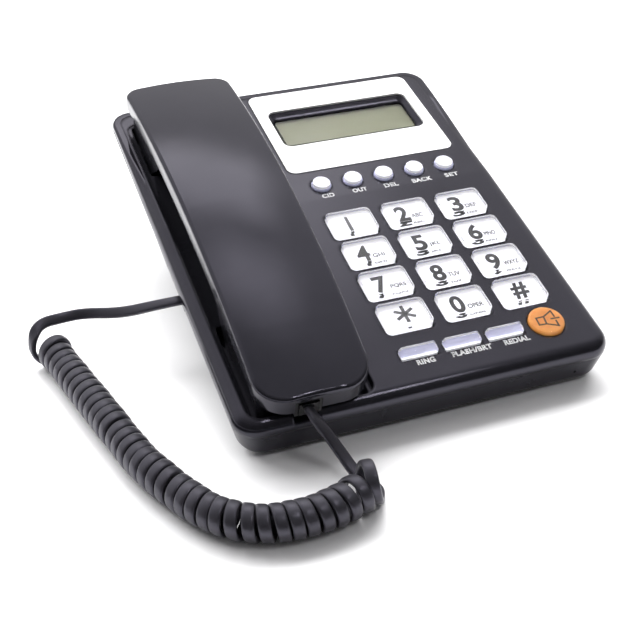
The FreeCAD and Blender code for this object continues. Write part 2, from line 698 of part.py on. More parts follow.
def lower_case():
    body = new_body("lower_case")
    # steps of the rounded bottom edge, as shares of its radius: height and set-in
    levels = [(s.bottom_round * low, s.bottom_round * inset) for low, inset in BOTTOM_STEPS]
    levels.append((s.parting, ZERO))
    outlines = [sketch_on(body, SLAB, height, [drawn_in(height, inset)]) for height, inset in levels]
    slab = body.newObject("PartDesign::AdditiveLoft", "slab")
    slab.Profile = outlines[0]
    slab.Sections = outlines[1:]
    slab.Ruled = True
    slope = tangent(s.tilt)
    foot = polygon(
        [
            (s.belly_front, 1),
            (s.belly_front, -(s.belly_front * slope)),
            (s.belly_back, -(s.belly_back * slope)),
            (s.belly_back, 1),
        ]
    )
    add(body, SIDE, -s.belly_half_width, s.belly_half_width, foot)
    # hollow slab and hollow foot
    slab_room = body.newObject("PartDesign::SubtractiveLoft", "slab_room")
    slab_room.Profile = sketch_on(body, SLAB, s.wall, [drawn_in(s.wall, s.wall)])
    room_top = s.parting + 1
    slab_room.Sections = [sketch_on(body, SLAB, room_top, [drawn_in(room_top, s.wall)])]
    slab_room.Ruled = True
    room_front = s.belly_front + s.wall
    room_back = s.belly_back - s.wall
    floor_rise = s.wall / cosine(s.tilt)
    foot_room = polygon(
        [
            (room_front, s.wall + 1),
            (room_front, floor_rise - room_front * slope),
            (room_back, floor_rise - room_back * slope),
            (room_back, s.wall + 1),
        ]
    )
    cut(body, SIDE, s.wall - s.belly_half_width, s.belly_half_width - s.wall, foot_room)
    # bosses for the case screws, and posts for the main board
    bosses = [circle(x, y, s.boss_radius) for x, y, top in case_screws]
    add(body, SLAB, s.wall - 1, s.post_joint, *bosses)
    for x, y in main_board_screws:
        low = floor_rise - (y - s.post_radius) * slope - 0.8
        add(body, SLAB, low, main_board_bottom, circle(x, y, s.post_radius))
    # battery box with its rim, standing on the foot's floor
    pad_x = s.hatch_half_width + s.door_lip + s.wall
    pad_front = hatch_front - s.door_lip - s.wall
    pad_back = (s.belly_back - 1) / cosine(s.tilt) - (ledge_top - s.foot_height) * slope
    add(body, LEVEL, s.foot_height + 1, ledge_top, rectangle(-pad_x, pad_front, pad_x, pad_back))
    outside_x = box_x + s.box_wall
    walls = rectangle(-outside_x, hatch_front - s.box_wall * 2, outside_x, hatch_back + s.box_wall * 2)
    add(body, LEVEL, ledge_top - 1, box_top + s.box_wall, walls)
    room = rectangle(-box_x, hatch_front - s.box_wall, box_x, hatch_back + s.box_wall)
    cut(body, LEVEL, ledge_top, box_top, room)
    opening = rectangle(-s.hatch_half_width, hatch_front, s.hatch_half_width, hatch_back)
    cut(body, LEVEL, s.foot_height - 1, ledge_top + 1, opening)
    rebate_x = s.hatch_half_width + s.door_lip + s.door_gap
    rebate = rectangle(-rebate_x, hatch_front - s.door_lip - s.door_gap, rebate_x, s.case_length)
    cut(body, LEVEL, s.foot_height - 1, rebate_top, rebate)
    # loudspeaker seat with its sound slots
    collar = [
        circle(s.speaker_x, s.speaker_y, s.speaker_radius + 1.9),
        circle(s.speaker_x, s.speaker_y, s.speaker_radius + 0.3),
    ]
    add(body, LEVEL, s.foot_height + 1, belly_floor_top + s.speaker_height / 2, *collar)
    slots = [square(s.speaker_x, s.speaker_y + 4.5 * i, 24 - 3 * abs(i), 1.6) for i in range(-3, 4)]
    cut(body, LEVEL, s.foot_height - 1, belly_floor_top + 0.5, *slots)
    # seats of the rubber feet
    seats = [circle(x, y, s.foot_radius + 0.1) for x, y in foot_places]
    cut(body, LEVEL, s.foot_height - 1, s.foot_height + s.foot_recess, *seats)
    # window and bed of the handset cord's socket
    half_socket = s.socket_width / 2 + 0.1
    bed = rectangle(
        -half_width - 1,
        s.base_socket_y - half_socket,
        base_socket_left + s.socket_length + 0.1,
        s.base_socket_y + half_socket,
    )
    cut(body, SLAB, s.base_socket_bottom, s.parting + 1, bed)
    # window of the wall line socket
    window = rectangle(
        s.line_socket_x - s.line_socket_width / 2 - 0.1,
        main_board_bottom - s.line_socket_height - 0.1,
        s.line_socket_x + s.line_socket_width / 2 + 0.1,
        main_board_bottom,
    )
    cut(body, FRONT, s.belly_back - s.wall - 1, s.belly_back + 1, window)
    # sound hole of the hands-free microphone
    cut(body, FRONT, -1, s.wall + 1, circle(s.mic_x, s.wall + s.mic_radius, 0.6))
    # clearance holes of the case screws
    cut(body, SLAB, -1, s.post_joint + 1, *[circle(x, y, s.screw_radius + 0.2) for x, y, top in case_screws])
    head_rooms = [circle(x, y, s.screw_head + 0.3) for x, y, top in case_screws]
    cut(body, SLAB, -1, s.wall + 0.2, *head_rooms)
    pilots = [circle(x, y, s.small_screw_radius + s.screw_gap) for x, y in main_board_screws]
    cut(body, SLAB, main_board_bottom - 5, main_board_bottom + 1, *pilots)
    place_in_slab(body)
    return body


def display_pieces():
    plate = new_body("face_plate")
    outside = rectangle(s.plate_left, s.plate_front, s.plate_right, s.plate_back, s.plate_corner)
    mouth = rectangle(s.window_left, s.window_front, s.window_right, s.window_back, s.window_corner)
    add(plate, DISPLAY, s.plate_proud - s.plate_thickness, s.plate_proud, outside, mouth)
    left = s.glass_left - s.glass_margin
    right = s.glass_right + s.glass_margin
    window = new_body("display_window")
    pane = rectangle(left, s.glass_front - s.glass_margin, right, s.glass_back + s.glass_margin)
    add(window, DISPLAY, -module_depth, -s.glass_depth, pane)
    module = new_body("display_module")
    block = rectangle(left, s.glass_front - s.module_rim, right, s.glass_back + s.module_rim)
    add(module, DISPLAY, -display_board_depth, -module_depth, block)
    board = new_body("display_board")
    sheet_outline = rectangle(-12, 2, right + 1.3, s.glass_back + s.module_rim + 1)
    holes = [circle(x, y, s.small_screw_radius + 0.1) for x, y in display_board_screws]
    add(board, DISPLAY, -display_board_depth - s.board_thickness, -display_board_depth, sheet_outline, *holes)
    mat = new_body("display_mat")
    mat_top = s.mat_thickness - display_board_depth
    strip = rectangle(-9, s.dot_y - 5, 62, s.dot_y + 5)
    add(mat, DISPLAY, -display_board_depth, mat_top, strip)
    dome_top = -s.skin - s.flange_height - s.key_travel - s.dome_gap
    domes = [circle(x, s.dot_y, s.dome_radius) for name, x in dots]
    add(mat, DISPLAY, mat_top - 0.2, dome_top, *domes)
    return [plate, window, module, board, mat]


def key_pieces():
    pieces = []
    face = s.face_height
    ring = s.flange * 2
    for name, x, y in keys:
        body = new_body(name)
        add(body, SLAB, ceiling, face + s.key_rise, square(x, y, s.key_width, s.key_depth, s.key_corner))
        top = number(face + s.key_rise) - 0.01
        round_edges(body, s.key_round, lambda edge, middle, top=top: middle.z > top)
        outline = square(x, y, s.key_width + ring, s.key_depth + ring, s.key_corner)
        add(body, SLAB, flange_bottom, ceiling, outline)
        pieces.append(body)
    for name, x in bars:
        body = new_body(name)
        add(body, SLAB, ceiling, face + s.bar_rise, square(x, s.bar_y, s.bar_width, s.bar_depth))
        top = number(face + s.bar_rise) - 0.01
        round_edges(body, s.key_round, lambda edge, middle, top=top: middle.z > top)
        add(body, SLAB, flange_bottom, ceiling, square(x, s.bar_y, s.bar_width + ring, s.bar_depth + ring))
        pieces.append(body)
    for name, x in dots:
        body = new_body(name)
        add(body, DISPLAY, -s.skin, s.dot_rise * 0.5, circle(x, s.dot_y, s.dot_radius))
        add(body, DISPLAY, s.dot_rise * 0.5 - 0.1, s.dot_rise, circle(x, s.dot_y, s.dot_radius - s.dot_step))
        collar = circle(x, s.dot_y, s.dot_radius + s.flange)
        add(body, DISPLAY, -s.skin - s.flange_height, -s.skin, collar)
        pieces.append(body)
    body = new_body("key_hands_free")
    add(body, SLAB, ceiling, face + s.talk_rise, circle(s.talk_x, s.talk_y, s.talk_radius))
    top = number(face + s.talk_rise) - 0.01
    round_edges(body, s.key_round * 2, lambda edge, middle: middle.z > top)
    add(body, SLAB, flange_bottom, ceiling, circle(s.talk_x, s.talk_y, s.talk_radius + s.flange))
    pieces.append(body)
    return pieces


def boards():
    key_mat = new_body("key_mat")
    mat_top = s.key_board_top + s.mat_thickness
    hole = circle(key_board_screws[1][0], key_board_screws[1][1], s.small_post_radius + 0.3)
    add(key_mat, SLAB, s.key_board_top, mat_top, rectangle(-11, 13, 57.8, 98.5), hole)
    dome_top = flange_bottom - s.key_travel - s.dome_gap
    domes = [circle(x, y, s.dome_radius) for name, x, y in keys]
    domes += [circle(x, s.bar_y, s.bar_depth / 2) for name, x in bars]
    domes.append(circle(s.talk_x, s.talk_y, s.dome_radius))
    add(key_mat, SLAB, mat_top - 0.2, dome_top, *domes)
    key_board = new_body("key_board")
    holes = [circle(x, y, s.small_screw_radius + 0.1) for x, y in key_board_screws]
    add(key_board, SLAB, key_board_bottom, s.key_board_top, rectangle(-16, 12, 58, 104.5), *holes)
    main_board = new_body("main_board")
    board_x = s.belly_half_width - s.wall - 0.8
    holes = [circle(x, y, s.small_screw_radius + 0.1) for x, y in main_board_screws]
    outline = rectangle(-board_x, 90, board_x, s.belly_back - s.wall - 1.8)
    add(main_board, SLAB, main_board_bottom, s.main_board_top, outline, *holes)
    return [key_mat, key_board, main_board]


def hook_pieces():
    plunger = new_body("hook_plunger")
    pin = square(s.handset_x, s.hook_y, s.hook_width, s.hook_depth)
    add(plunger, SLAB, hook_switch_top, s.well_floor, pin)
    collar = square(s.handset_x, s.hook_y, s.hook_width + 3, s.hook_depth + 3)
    add(plunger, SLAB, hook_switch_top, hook_switch_top + hook_collar, collar)
    switch = new_body("hook_switch")
    add(switch, SLAB, s.main_board_top, hook_switch_top, square(s.handset_x, s.hook_y, 12, 10))
    return [plunger, switch]


def sound_pieces():
    speaker = new_body("loudspeaker")
    steps = [(0, 0.25, 0), (0.2, 0.7, 4), (0.6, 1, 9)]
    for low, high, set_back in steps:
        disc = circle(s.speaker_x, s.speaker_y, s.speaker_radius - set_back)
        bottom = belly_floor_top + s.speaker_height * low
        add(speaker, LEVEL, bottom, belly_floor_top + s.speaker_height * high, disc)
    mic = new_body("hands_free_microphone")
    add(mic, FRONT, s.wall, s.wall + 3.5, circle(s.mic_x, s.wall + s.mic_radius, s.mic_radius))
    return [speaker, mic]


def socket_pieces():
    """Cord sockets with their cavities, and the two plugs of the handset cord in theirs."""
    cavity_width = s.plug_width + s.plug_gap * 2
    cavity_height = s.plug_height + s.plug_gap * 2
    cavity_depth = s.plug_length - s.plug_proud + s.plug_gap
    base_socket = new_body("base_cord_socket")
    block = square(s.base_socket_y, base_socket_axis, s.socket_width, s.socket_height)
    add(base_socket, SIDE, base_socket_left, base_socket_left + s.socket_length, block)
    mouth = square(s.base_socket_y, base_socket_axis, cavity_width, cavity_height)
    cut(base_socket, SIDE, base_socket_left - 1, base_socket_left + cavity_depth, mouth)
    base_plug = new_body("cord_plug_base")
    plug = square(s.base_socket_y, base_socket_axis, s.plug_width, s.plug_height)
    add(base_plug, SIDE, base_plug_end, base_plug_end + s.plug_length, plug)
    handset_socket = new_body("handset_cord_socket")
    block = square(s.handset_socket_x, handset_socket_axis, s.socket_width, s.socket_height)
    add(handset_socket, FRONT, handset_socket_front, handset_socket_front + s.socket_length, block)
    mouth = square(s.handset_socket_x, handset_socket_axis, cavity_width, cavity_height)
    cut(handset_socket, FRONT, handset_socket_front - 1, handset_socket_front + cavity_depth, mouth)
    handset_plug = new_body("cord_plug_handset")
    plug = square(s.handset_socket_x, handset_socket_axis, s.plug_width, s.plug_height)
    add(handset_plug, FRONT, handset_plug_end, handset_plug_end + s.plug_length, plug)
    line_socket = new_body("line_socket")
    line_axis = main_board_bottom - s.line_socket_height / 2
    block = square(s.line_socket_x, line_axis, s.line_socket_width, s.line_socket_height)
    add(line_socket, FRONT, s.belly_back - s.line_socket_length, s.belly_back, block)
    mouth = square(s.line_socket_x, line_axis, s.line_mouth_width, s.line_mouth_height)
    cut(line_socket, FRONT, s.belly_back - s.line_socket_length + s.wall, s.belly_back + 1, mouth)
    return [base_socket, base_plug, handset_socket, handset_plug, line_socket]


def battery_pieces():
    door = new_body("battery_door")
    door_top = s.foot_height + s.door_thickness
    door_x = s.hatch_half_width + s.door_lip
    door_back = s.belly_back / cosine(s.tilt) - s.door_thickness * tangent(s.tilt) - 0.1
    add(door, LEVEL, s.foot_height, door_top, rectangle(-door_x, hatch_front - s.door_lip, door_x, door_back))
    hook_front = hatch_front + 3
    hook_back = hook_front + 10
    web = s.cell_length / 2 + 0.15
    for side in (-1, 1):
        near, far = (web, web + 1.4) if side > 0 else (-web - 1.4, -web)
        add(door, LEVEL, door_top - 0.2, ledge_top + 0.4, rectangle(near, hook_front, far, hook_back))
        near, far = (web, web + 3.2) if side > 0 else (-web - 3.2, -web)
        add(door, LEVEL, ledge_top + 0.2, ledge_top + 1.2, rectangle(near, hook_front, far, hook_back))
    cut(door, LEVEL, s.foot_height - 1, s.foot_height + 0.8, square(0, door_back - 8, 16, 4))
    cell_z = door_top + 0.3 + s.cell_radius
    cells = new_body("batteries")
    half_cell = s.cell_length / 2
    places = [s.cells_y + s.cell_pitch * i for i in (-1, 0, 1)]
    rows = [level_side_circle(y, cell_z, s.cell_radius) for y in places]
    add(cells, SIDE, -half_cell, half_cell - 1, *rows)
    tips = [level_side_circle(y, cell_z, s.cell_radius * 0.45) for y in places]
    add(cells, SIDE, half_cell - 1.1, half_cell, *tips)
    contacts = new_body("battery_contacts")
    low, high = cell_z - 2, cell_z + 4
    for side in (-1, 1):
        near, far = (box_x - 0.5, box_x) if side > 0 else (-box_x, -box_x + 0.5)
        strip = rectangle(near, hatch_front + 0.5, far, hatch_back - 0.5)
        add(contacts, LEVEL, low, high, strip)
        near, far = (half_cell + 0.1, box_x - 0.4) if side > 0 else (-box_x + 0.4, -half_cell - 0.1)
        add(contacts, SIDE, near, far, *[level_side_circle(y, cell_z, 2) for y in places])
    return [door, cells, contacts]


def level_side_circle(y, z, radius):
    """A circle seen from the side, its middle given on the table's own axes."""
    v = y * cosine(s.tilt) + (z - s.foot_height) * sine(s.tilt)
    w = (z - s.foot_height) * cosine(s.tilt) - y * sine(s.tilt)
    return circle(v, w, radius)


def screws_and_feet():
    case = new_body("case_screws")
    seat = s.wall + 0.2
    heads = [circle(x, y, s.screw_head) for x, y, top in case_screws]
    add(case, SLAB, seat - s.screw_head_height, seat, *heads)
    for x, y, top in case_screws:
        add(case, SLAB, seat - 0.1, top - 0.6, circle(x, y, s.screw_radius))
    pieces = [case]
    display_seat = -display_board_depth - s.board_thickness
    board_rows = [
        ("key_board_screws", SLAB, key_board_bottom, ceiling - 0.6, key_board_screws, 1),
        ("display_board_screws", DISPLAY, display_seat, -s.skin - 0.6, display_board_screws, 1),
        ("main_board_screws", SLAB, s.main_board_top, main_board_bottom - 4.5, main_board_screws, -1),
    ]
    for label, plane, seat, tip, places, way in board_rows:
        body = new_body(label)
        heads = [circle(x, y, s.small_screw_head) for x, y in places]
        shanks = [circle(x, y, s.small_screw_radius) for x, y in places]
        height = s.small_screw_head_height
        if way > 0:
            add(body, plane, seat - height, seat, *heads)
            add(body, plane, seat - 0.1, tip, *shanks)
        else:
            add(body, plane, seat, seat + height, *heads)
            add(body, plane, tip, seat + 0.1, *shanks)
        pieces.append(body)
    feet = new_body("rubber_feet")
    discs = [circle(x, y, s.foot_radius) for x, y in foot_places]
    add(feet, LEVEL, 0, s.foot_height + s.foot_recess, *discs)
    pieces.append(feet)
    return pieces


def handset_outline(label, inset):
    """Prism of the handset's outline seen from above, set in by inset."""
    body = new_body(label)
    front = s.handset_front + inset
    rear = s.handset_back - inset
    half_front = s.handset_front_width / 2 - inset
    half_rear = s.handset_back_width / 2 - inset
    corners = polygon(
        [
            (s.handset_x - half_front, front),
            (s.handset_x + half_front, front),
            (s.handset_x + half_rear, rear),
            (s.handset_x - half_rear, rear),
        ]
    )
    add(body, SLAB, 0, s.arch_top + 10, corners)
    middle_y = number(s.case_length) / 2

    def front_corner(edge, middle):
        return edge.BoundBox.ZLength > 5 and middle.y < middle_y

    def rear_corner(edge, middle):
        return edge.BoundBox.ZLength > 5 and middle.y > middle_y and abs(middle.y - number(rear)) < 0.01

    round_edges(body, s.handset_front_corner - inset, front_corner)
    round_edges(body, s.handset_back_corner - inset * 0.6, rear_corner)
    return body


def arched_bar(label, low, high):
    """Bar bent along the handset's arch, between two drops under its top, with a crowned top."""
    body = new_body(label)
    reach = s.handset_back_width / 2 + 0.5
    outer = s.arch_radius - high
    inner = s.arch_radius - low
    plane = SimpleNamespace(role="XZ_Plane", y=arch_centre, z=0, turn=0, sign=-1)
    edge_height = root(s.crown_radius * s.crown_radius - reach * reach)
    crown_centre = outer - edge_height

    def section(sketch):
        left = s.handset_x - reach
        right = s.handset_x + reach
        first = number(inner)
        last = number(outer)
        half_turn = math.degrees(math.asin(number(reach) / number(s.crown_radius)))
        sides = [
            line(sketch, (left, last), (left, first)),
            line(sketch, (left, first), (right, first)),
            line(sketch, (right, first), (right, last)),
        ]
        crown = arc(sketch, s.handset_x, crown_centre, s.crown_radius, 90 - half_turn, 90 + half_turn)
        sketch.addConstraint(Sketcher.Constraint("Coincident", sides[0], 2, sides[1], 1))
        sketch.addConstraint(Sketcher.Constraint("Coincident", sides[1], 2, sides[2], 1))
        sketch.addConstraint(Sketcher.Constraint("Coincident", sides[2], 2, crown, 1))
        sketch.addConstraint(Sketcher.Constraint("Coincident", crown, 2, sides[0], 1))
        ends = ((sides[0], left, outer), (sides[1], left, inner), (sides[2], right, inner))
        for item, x, y in ends:
            fix_x(sketch, item, 1, x)
            fix_y(sketch, item, 1, y)
        fix_x(sketch, crown, 1, right)
        fix_y(sketch, crown, 1, outer)
        dimension(sketch, Sketcher.Constraint("Radius", crown, number(s.crown_radius)), s.crown_radius)

    sketch = sketch_on(body, plane, ZERO - s.arch_at, [section])
    turn = body.newObject("PartDesign::Revolution", f"{label}_turn")
    turn.Profile = sketch
    turn.ReferenceAxis = (sketch, ["H_Axis"])
    turn.Midplane = True
    turn.Angle = 40
    return body


def both(kind, label, first, second):
    """Common part or difference of two solids."""
    result = doc.addObject(kind, label)
    result.Base = first
    result.Tool = second
    return result


def body_on(label, base):
    """A body that goes on from a solid made elsewhere."""
    body = new_body(label)
    body.BaseFeature = base
    return body


def handset_cover():
    outside = both(
        "Part::Common",
        "cover_outside",
        handset_outline("cover_outline", ZERO),
        arched_bar("cover_bar", s.band, ZERO),
    )
    inside = both(
        "Part::Common",
        "cover_inside",
        handset_outline("cover_room_outline", s.handset_wall),
        arched_bar("cover_room_bar", s.band + 1, s.handset_wall + 0.2),
    )
    cover = body_on("handset_cover", both("Part::Cut", "cover_hollow", outside, inside))
    arch_y = number(s.arch_at)
    arch_z = number(arch_centre)
    edge_radius = number(s.arch_radius) - 0.5
    round_edges(
        cover,
        s.cover_round,
        lambda edge, middle: math.hypot(middle.y - arch_y, middle.z - arch_z) > edge_radius,
    )
    posts = [circle(s.handset_x, y, s.post_radius) for y in handset_screws]
    add(cover, SLAB, grip_floor, handset_post_top, *posts)
    pilots = [circle(s.handset_x, y, s.screw_radius + s.screw_gap) for y in handset_screws]
    cut(cover, SLAB, grip_floor - 1, handset_post_top - 2.4, *pilots)
    cut(cover, FRONT, -1, handset_socket_front + s.socket_length + 0.1, handset_socket_window())
    place_in_slab(cover)
    return cover


def handset_socket_window():
    return square(s.handset_socket_x, handset_socket_axis, s.socket_width + 0.2, s.socket_height)


def shell_profile(wall, rise):
    """Side view of the handset's lower shell, set in by wall, its top raised over the parting arc."""
    floor = s.well_floor + wall
    front_run = s.grip_front - s.cup_slope_front
    back_run = s.cup_slope_back - s.grip_back
    slope_rise = s.grip_height - s.well_floor
    front_shift = wall * (root(front_run * front_run + slope_rise * slope_rise) - front_run) / slope_rise
    back_shift = wall * (root(back_run * back_run + slope_rise * slope_rise) - back_run) / slope_rise
    points = [
        (-2, s.lip_front_height + wall),
        (s.cup_front + wall, s.lip_front_height + wall),
        (s.cup_front + wall, floor),
        (s.cup_slope_front - front_shift, floor),
        (s.grip_front - front_shift, s.grip_height + wall),
        (s.grip_back + back_shift, s.grip_height + wall),
        (s.cup_slope_back + back_shift, floor),
        (s.cup_back - wall, floor),
        (s.cup_back - wall, s.lip_back_height + wall),
        (s.case_length + 3, s.lip_back_height + wall),
    ]
    top = s.arch_radius - s.band + rise
    return arched(-2, points, s.case_length + 3, s.arch_at, arch_centre, top)


def shell_prism(label, wall, rise):
    body = new_body(label)
    reach = s.handset_back_width / 2 + 6
    add(body, SIDE, s.handset_x - reach, s.handset_x + reach, shell_profile(wall, rise))
    return body


def handset_shell():
    outside = both(
        "Part::Common",
        "shell_outside",
        handset_outline("shell_outline", s.shell_inset),
        shell_prism("shell_side", ZERO, ZERO),
    )
    inside = both(
        "Part::Common",
        "shell_inside",
        handset_outline("shell_room_outline", s.shell_inset + s.handset_wall),
        shell_prism("shell_room_side", s.handset_wall, Size(1, "1")),
    )
    shell = body_on("handset_shell", both("Part::Cut", "shell_hollow", outside, inside))
    # collars round the receiver and the microphone
    for y, radius in ((s.receiver_y, s.receiver_radius), (s.microphone_y, s.microphone_radius)):
        rings = [circle(s.handset_x, y, radius + 1.2), circle(s.handset_x, y, radius + 0.1)]
        add(shell, SLAB, cup_floor - 0.5, cup_floor + 3, *rings)
    # sound holes
    ring = [
        circle(
            s.handset_x + 5 * math.cos(math.radians(60 * i)),
            s.receiver_y + 5 * math.sin(math.radians(60 * i)),
            0.9,
        )
        for i in range(6)
    ]
    cut(shell, SLAB, s.well_floor - 1, cup_floor + 1, circle(s.handset_x, s.receiver_y, 0.9), *ring)
    mouth_holes = [circle(s.handset_x + 2.5 * i, s.microphone_y, 0.7) for i in (-1, 0, 1)]
    cut(shell, SLAB, s.well_floor - 1, cup_floor + 1, *mouth_holes)
    # screw holes with their counterbores
    holes = [circle(s.handset_x, y, s.screw_radius + 0.2) for y in handset_screws]
    cut(shell, SLAB, s.grip_height - 1, grip_floor + 1, *holes)
    head_rooms = [circle(s.handset_x, y, s.screw_head + 0.2) for y in handset_screws]
    cut(shell, SLAB, s.grip_height - 1, s.grip_height + 1, *head_rooms)
    cut(shell, FRONT, -1, handset_socket_front + s.socket_length + 0.1, handset_socket_window())
    place_in_slab(shell)
    return shell


def handset_inner_pieces():
    receiver = new_body("receiver")
    add(receiver, SLAB, cup_floor, cup_floor + 4, circle(s.handset_x, s.receiver_y, s.receiver_radius))
    magnet = circle(s.handset_x, s.receiver_y, s.receiver_radius * 0.6)
    add(receiver, SLAB, cup_floor + 3.8, cup_floor + 7, magnet)
    microphone = new_body("microphone")
    add(microphone, SLAB, cup_floor, cup_floor + 5, circle(s.handset_x, s.microphone_y, s.microphone_radius))
    weight = new_body("handset_weight")
    middle = (s.grip_front + s.grip_back) / 2
    length = s.grip_back - s.grip_front - 22
    add(weight, SLAB, grip_floor, grip_floor + 5, square(s.handset_x, middle, 14, length))
    screws = new_body("handset_screws")
    heads = [circle(s.handset_x, y, s.screw_head) for y in handset_screws]
    add(screws, SLAB, s.grip_height, s.grip_height + 1, *heads)
    shanks = [circle(s.handset_x, y, s.screw_radius) for y in handset_screws]
    add(screws, SLAB, s.grip_height + 0.9, grip_floor + 7, *shanks)
    return [receiver, microphone, weight, screws]


# The cord, in the frame of the whole part

coil_poles = [(-125.5, -7.5), (-112.5, -66.5), (-107, -91.5), (-89.5, -127.5), (-57, -132.5), (-37, -123)]
coil_turns = 38.5
coil_entry = FreeCAD.Vector(-120, 4.9, 13.3)
coil_exit = FreeCAD.Vector(-45.2, -111.6, 14.6)
base_lead_corners = [
    FreeCAD.Vector(-84.5, -16.9, 25.15),
    FreeCAD.Vector(-97, -7.5, 18.5),
    FreeCAD.Vector(-110, 4.5, 14.3),
]
handset_lead_corners = [FreeCAD.Vector(-47.4, -108.3, 17.6)]


def slab_point(x, y, z):
    """A point of the tilted case in the frame of the whole part."""
    tilt = math.radians(number(s.tilt))
    return FreeCAD.Vector(
        x,
        y * math.cos(tilt) - z * math.sin(tilt) - number(s.origin_y),
        y * math.sin(tilt) + z * math.cos(tilt) + number(s.foot_height),
    )


def rounded_route(points):
    """Straight runs joined by tangent arcs; prints the least radius."""
    edges = []
    radii = []
    start = points[0]
    for before, corner, after in zip(points, points[1:], points[2:]):
        into = corner - before
        out = after - corner
        reach = 0.45 * min(into.Length, out.Length)
        half_turn = into.getAngle(out) / 2
        radius = reach / math.tan(half_turn)
        into.normalize()
        out.normalize()
        inward = (out - into).normalize()
        middle = corner + inward * (radius / math.cos(half_turn) - radius)
        arc_start = corner - into * reach
        arc_end = corner + out * reach
        edges.append(Part.LineSegment(start, arc_start).toShape())
        edges.append(Part.Arc(arc_start, middle, arc_end).toShape())
        radii.append(radius)
        start = arc_end
    edges.append(Part.LineSegment(start, points[-1]).toShape())
    print("least bend radius", round(min(radii), 1))
    return edges


def arc_between(first, first_way, last):
    """Arc from first, along first_way, to last."""
    chord = last - first
    half = chord.Length / 2
    side = first_way * (chord * first_way) - chord
    if side.Length < 1e-9:
        return Part.LineSegment(first, last).toShape()
    sine_of_turn = side.Length / chord.Length
    cosine_of_turn = (chord * first_way) / chord.Length
    rise = half * (1 - cosine_of_turn) / sine_of_turn
    bulge = first_way * sine_of_turn + side.normalize() * cosine_of_turn
    middle = (first + last) * 0.5 + bulge * rise
    return Part.Arc(first, middle, last).toShape()


def two_arcs(first, first_way, last, last_way):
    """Two arcs with a common tangent that join two points, along the direction given at each."""
    chord = last - first
    ways = first_way + last_way
    closing = 1 - first_way * last_way
    along = chord * ways
    reach = (math.sqrt(along * along + 2 * closing * (chord * chord)) - along) / (2 * closing)
    joint = (first + first_way * reach + last - last_way * reach) * 0.5
    back = arc_between(last, last_way * -1, joint)
    return [arc_between(first, first_way, joint), back.reversed()]


def coil_stations():
    """Points and directions every half turn of the coil, each end let out to its lead."""
    knots = list(range(len(coil_poles) - 1))
    height = number(s.coil_radius) + number(s.cord_radius) + 0.05
    poles = [FreeCAD.Vector(x, y, height) for x, y in coil_poles]
    middle_line = Part.BSplineCurve()
    middle_line.buildFromPolesMultsKnots(poles, [3] + [1] * (len(knots) - 2) + [3], knots, False, 2)
    edge = middle_line.toShape()
    radius = number(s.coil_radius)
    up = FreeCAD.Vector(0, 0, 1)

    def wire_point(turn):
        parameter = edge.getParameterByLength(edge.Length * turn / coil_turns)
        forward = edge.tangentAt(parameter)
        angle = math.pi + 2 * math.pi * turn
        side = up.cross(forward) * math.cos(angle) + up * math.sin(angle)
        return edge.valueAt(parameter) + side * radius

    stations = []
    step = 0.001
    for half_turn in range(int(coil_turns * 2) + 1):
        turn = half_turn / 2
        before = wire_point(max(0, turn - step))
        after = wire_point(min(coil_turns, turn + step))
        stations.append((wire_point(turn), (after - before).normalize()))
    return stations


def moved(points, origin):
    return [point - origin for point in points]


def tube(label, origin, edges):
    """Solid wire along edges that start at origin and are drawn from there."""
    wire = Part.Wire(edges)
    radius = number(s.cord_radius)
    ring = Part.Wire(Part.makeCircle(radius, FreeCAD.Vector(), edges[0].tangentAt(edges[0].FirstParameter)))
    item = doc.addObject("Part::Feature", label)
    item.Shape = wire.makePipeShell([ring], True, False)
    item.Placement = FreeCAD.Placement(origin, FreeCAD.Rotation())
    share = item.Shape.Volume / (math.pi * radius * radius * wire.Length)
    print(label, "length", round(wire.Length, 1), "volume over section times length", round(share, 4))
    return item


def least_gap(edges):
    """Least distance between stretches of the coil more than a turn's half apart."""
    spots = []
    for edge in edges:
        for i in range(6):
            span = edge.LastParameter - edge.FirstParameter
            spots.append(edge.valueAt(edge.FirstParameter + span * i / 6))
    least = 1000
    for i, spot in enumerate(spots):
        for other in spots[i + 14 : i + 44]:
            least = min(least, spot.distanceToPoint(other))
    return least - 2 * number(s.cord_radius)


def cord_tubes():
    end_straight = 2 * number(s.cord_radius)
    stations = coil_stations()
    base_end = slab_point(number(base_plug_end), number(s.base_socket_y), number(base_socket_axis))
    entry_way = (coil_entry - base_lead_corners[-1]).normalize()
    exit_way = (handset_lead_corners[-1] - coil_exit).normalize()
    stations.insert(0, (coil_entry + entry_way * end_straight, entry_way))
    stations.append((coil_exit - exit_way * end_straight, exit_way))
    stations = [(point - coil_entry, way) for point, way in stations]
    edges = [Part.LineSegment(FreeCAD.Vector(), stations[0][0]).toShape()]
    for (point, way), (next_point, next_way) in zip(stations, stations[1:]):
        edges += two_arcs(point, way, next_point, next_way)
    edges.append(Part.LineSegment(stations[-1][0], coil_exit - coil_entry).toShape())
    coil = tube("cord_coil", coil_entry, edges)
    print("least gap of the coil to itself", round(least_gap(edges), 2))
    base_route = [base_end] + base_lead_corners + [coil_entry]
    base_lead = tube("cord_lead_base", base_end, rounded_route(moved(base_route, base_end)))
    handset_x = number(s.handset_socket_x)
    plug_end = number(handset_plug_end)
    handset_end = slab_point(handset_x, plug_end, number(handset_socket_axis))
    corner = slab_point(handset_x, plug_end - 6.5, number(handset_socket_axis))
    handset_route = [handset_end, corner] + handset_lead_corners + [coil_exit]
    handset_lead = tube("cord_lead_handset", handset_end, rounded_route(moved(handset_route, handset_end)))
    return [base_lead, coil, handset_lead]


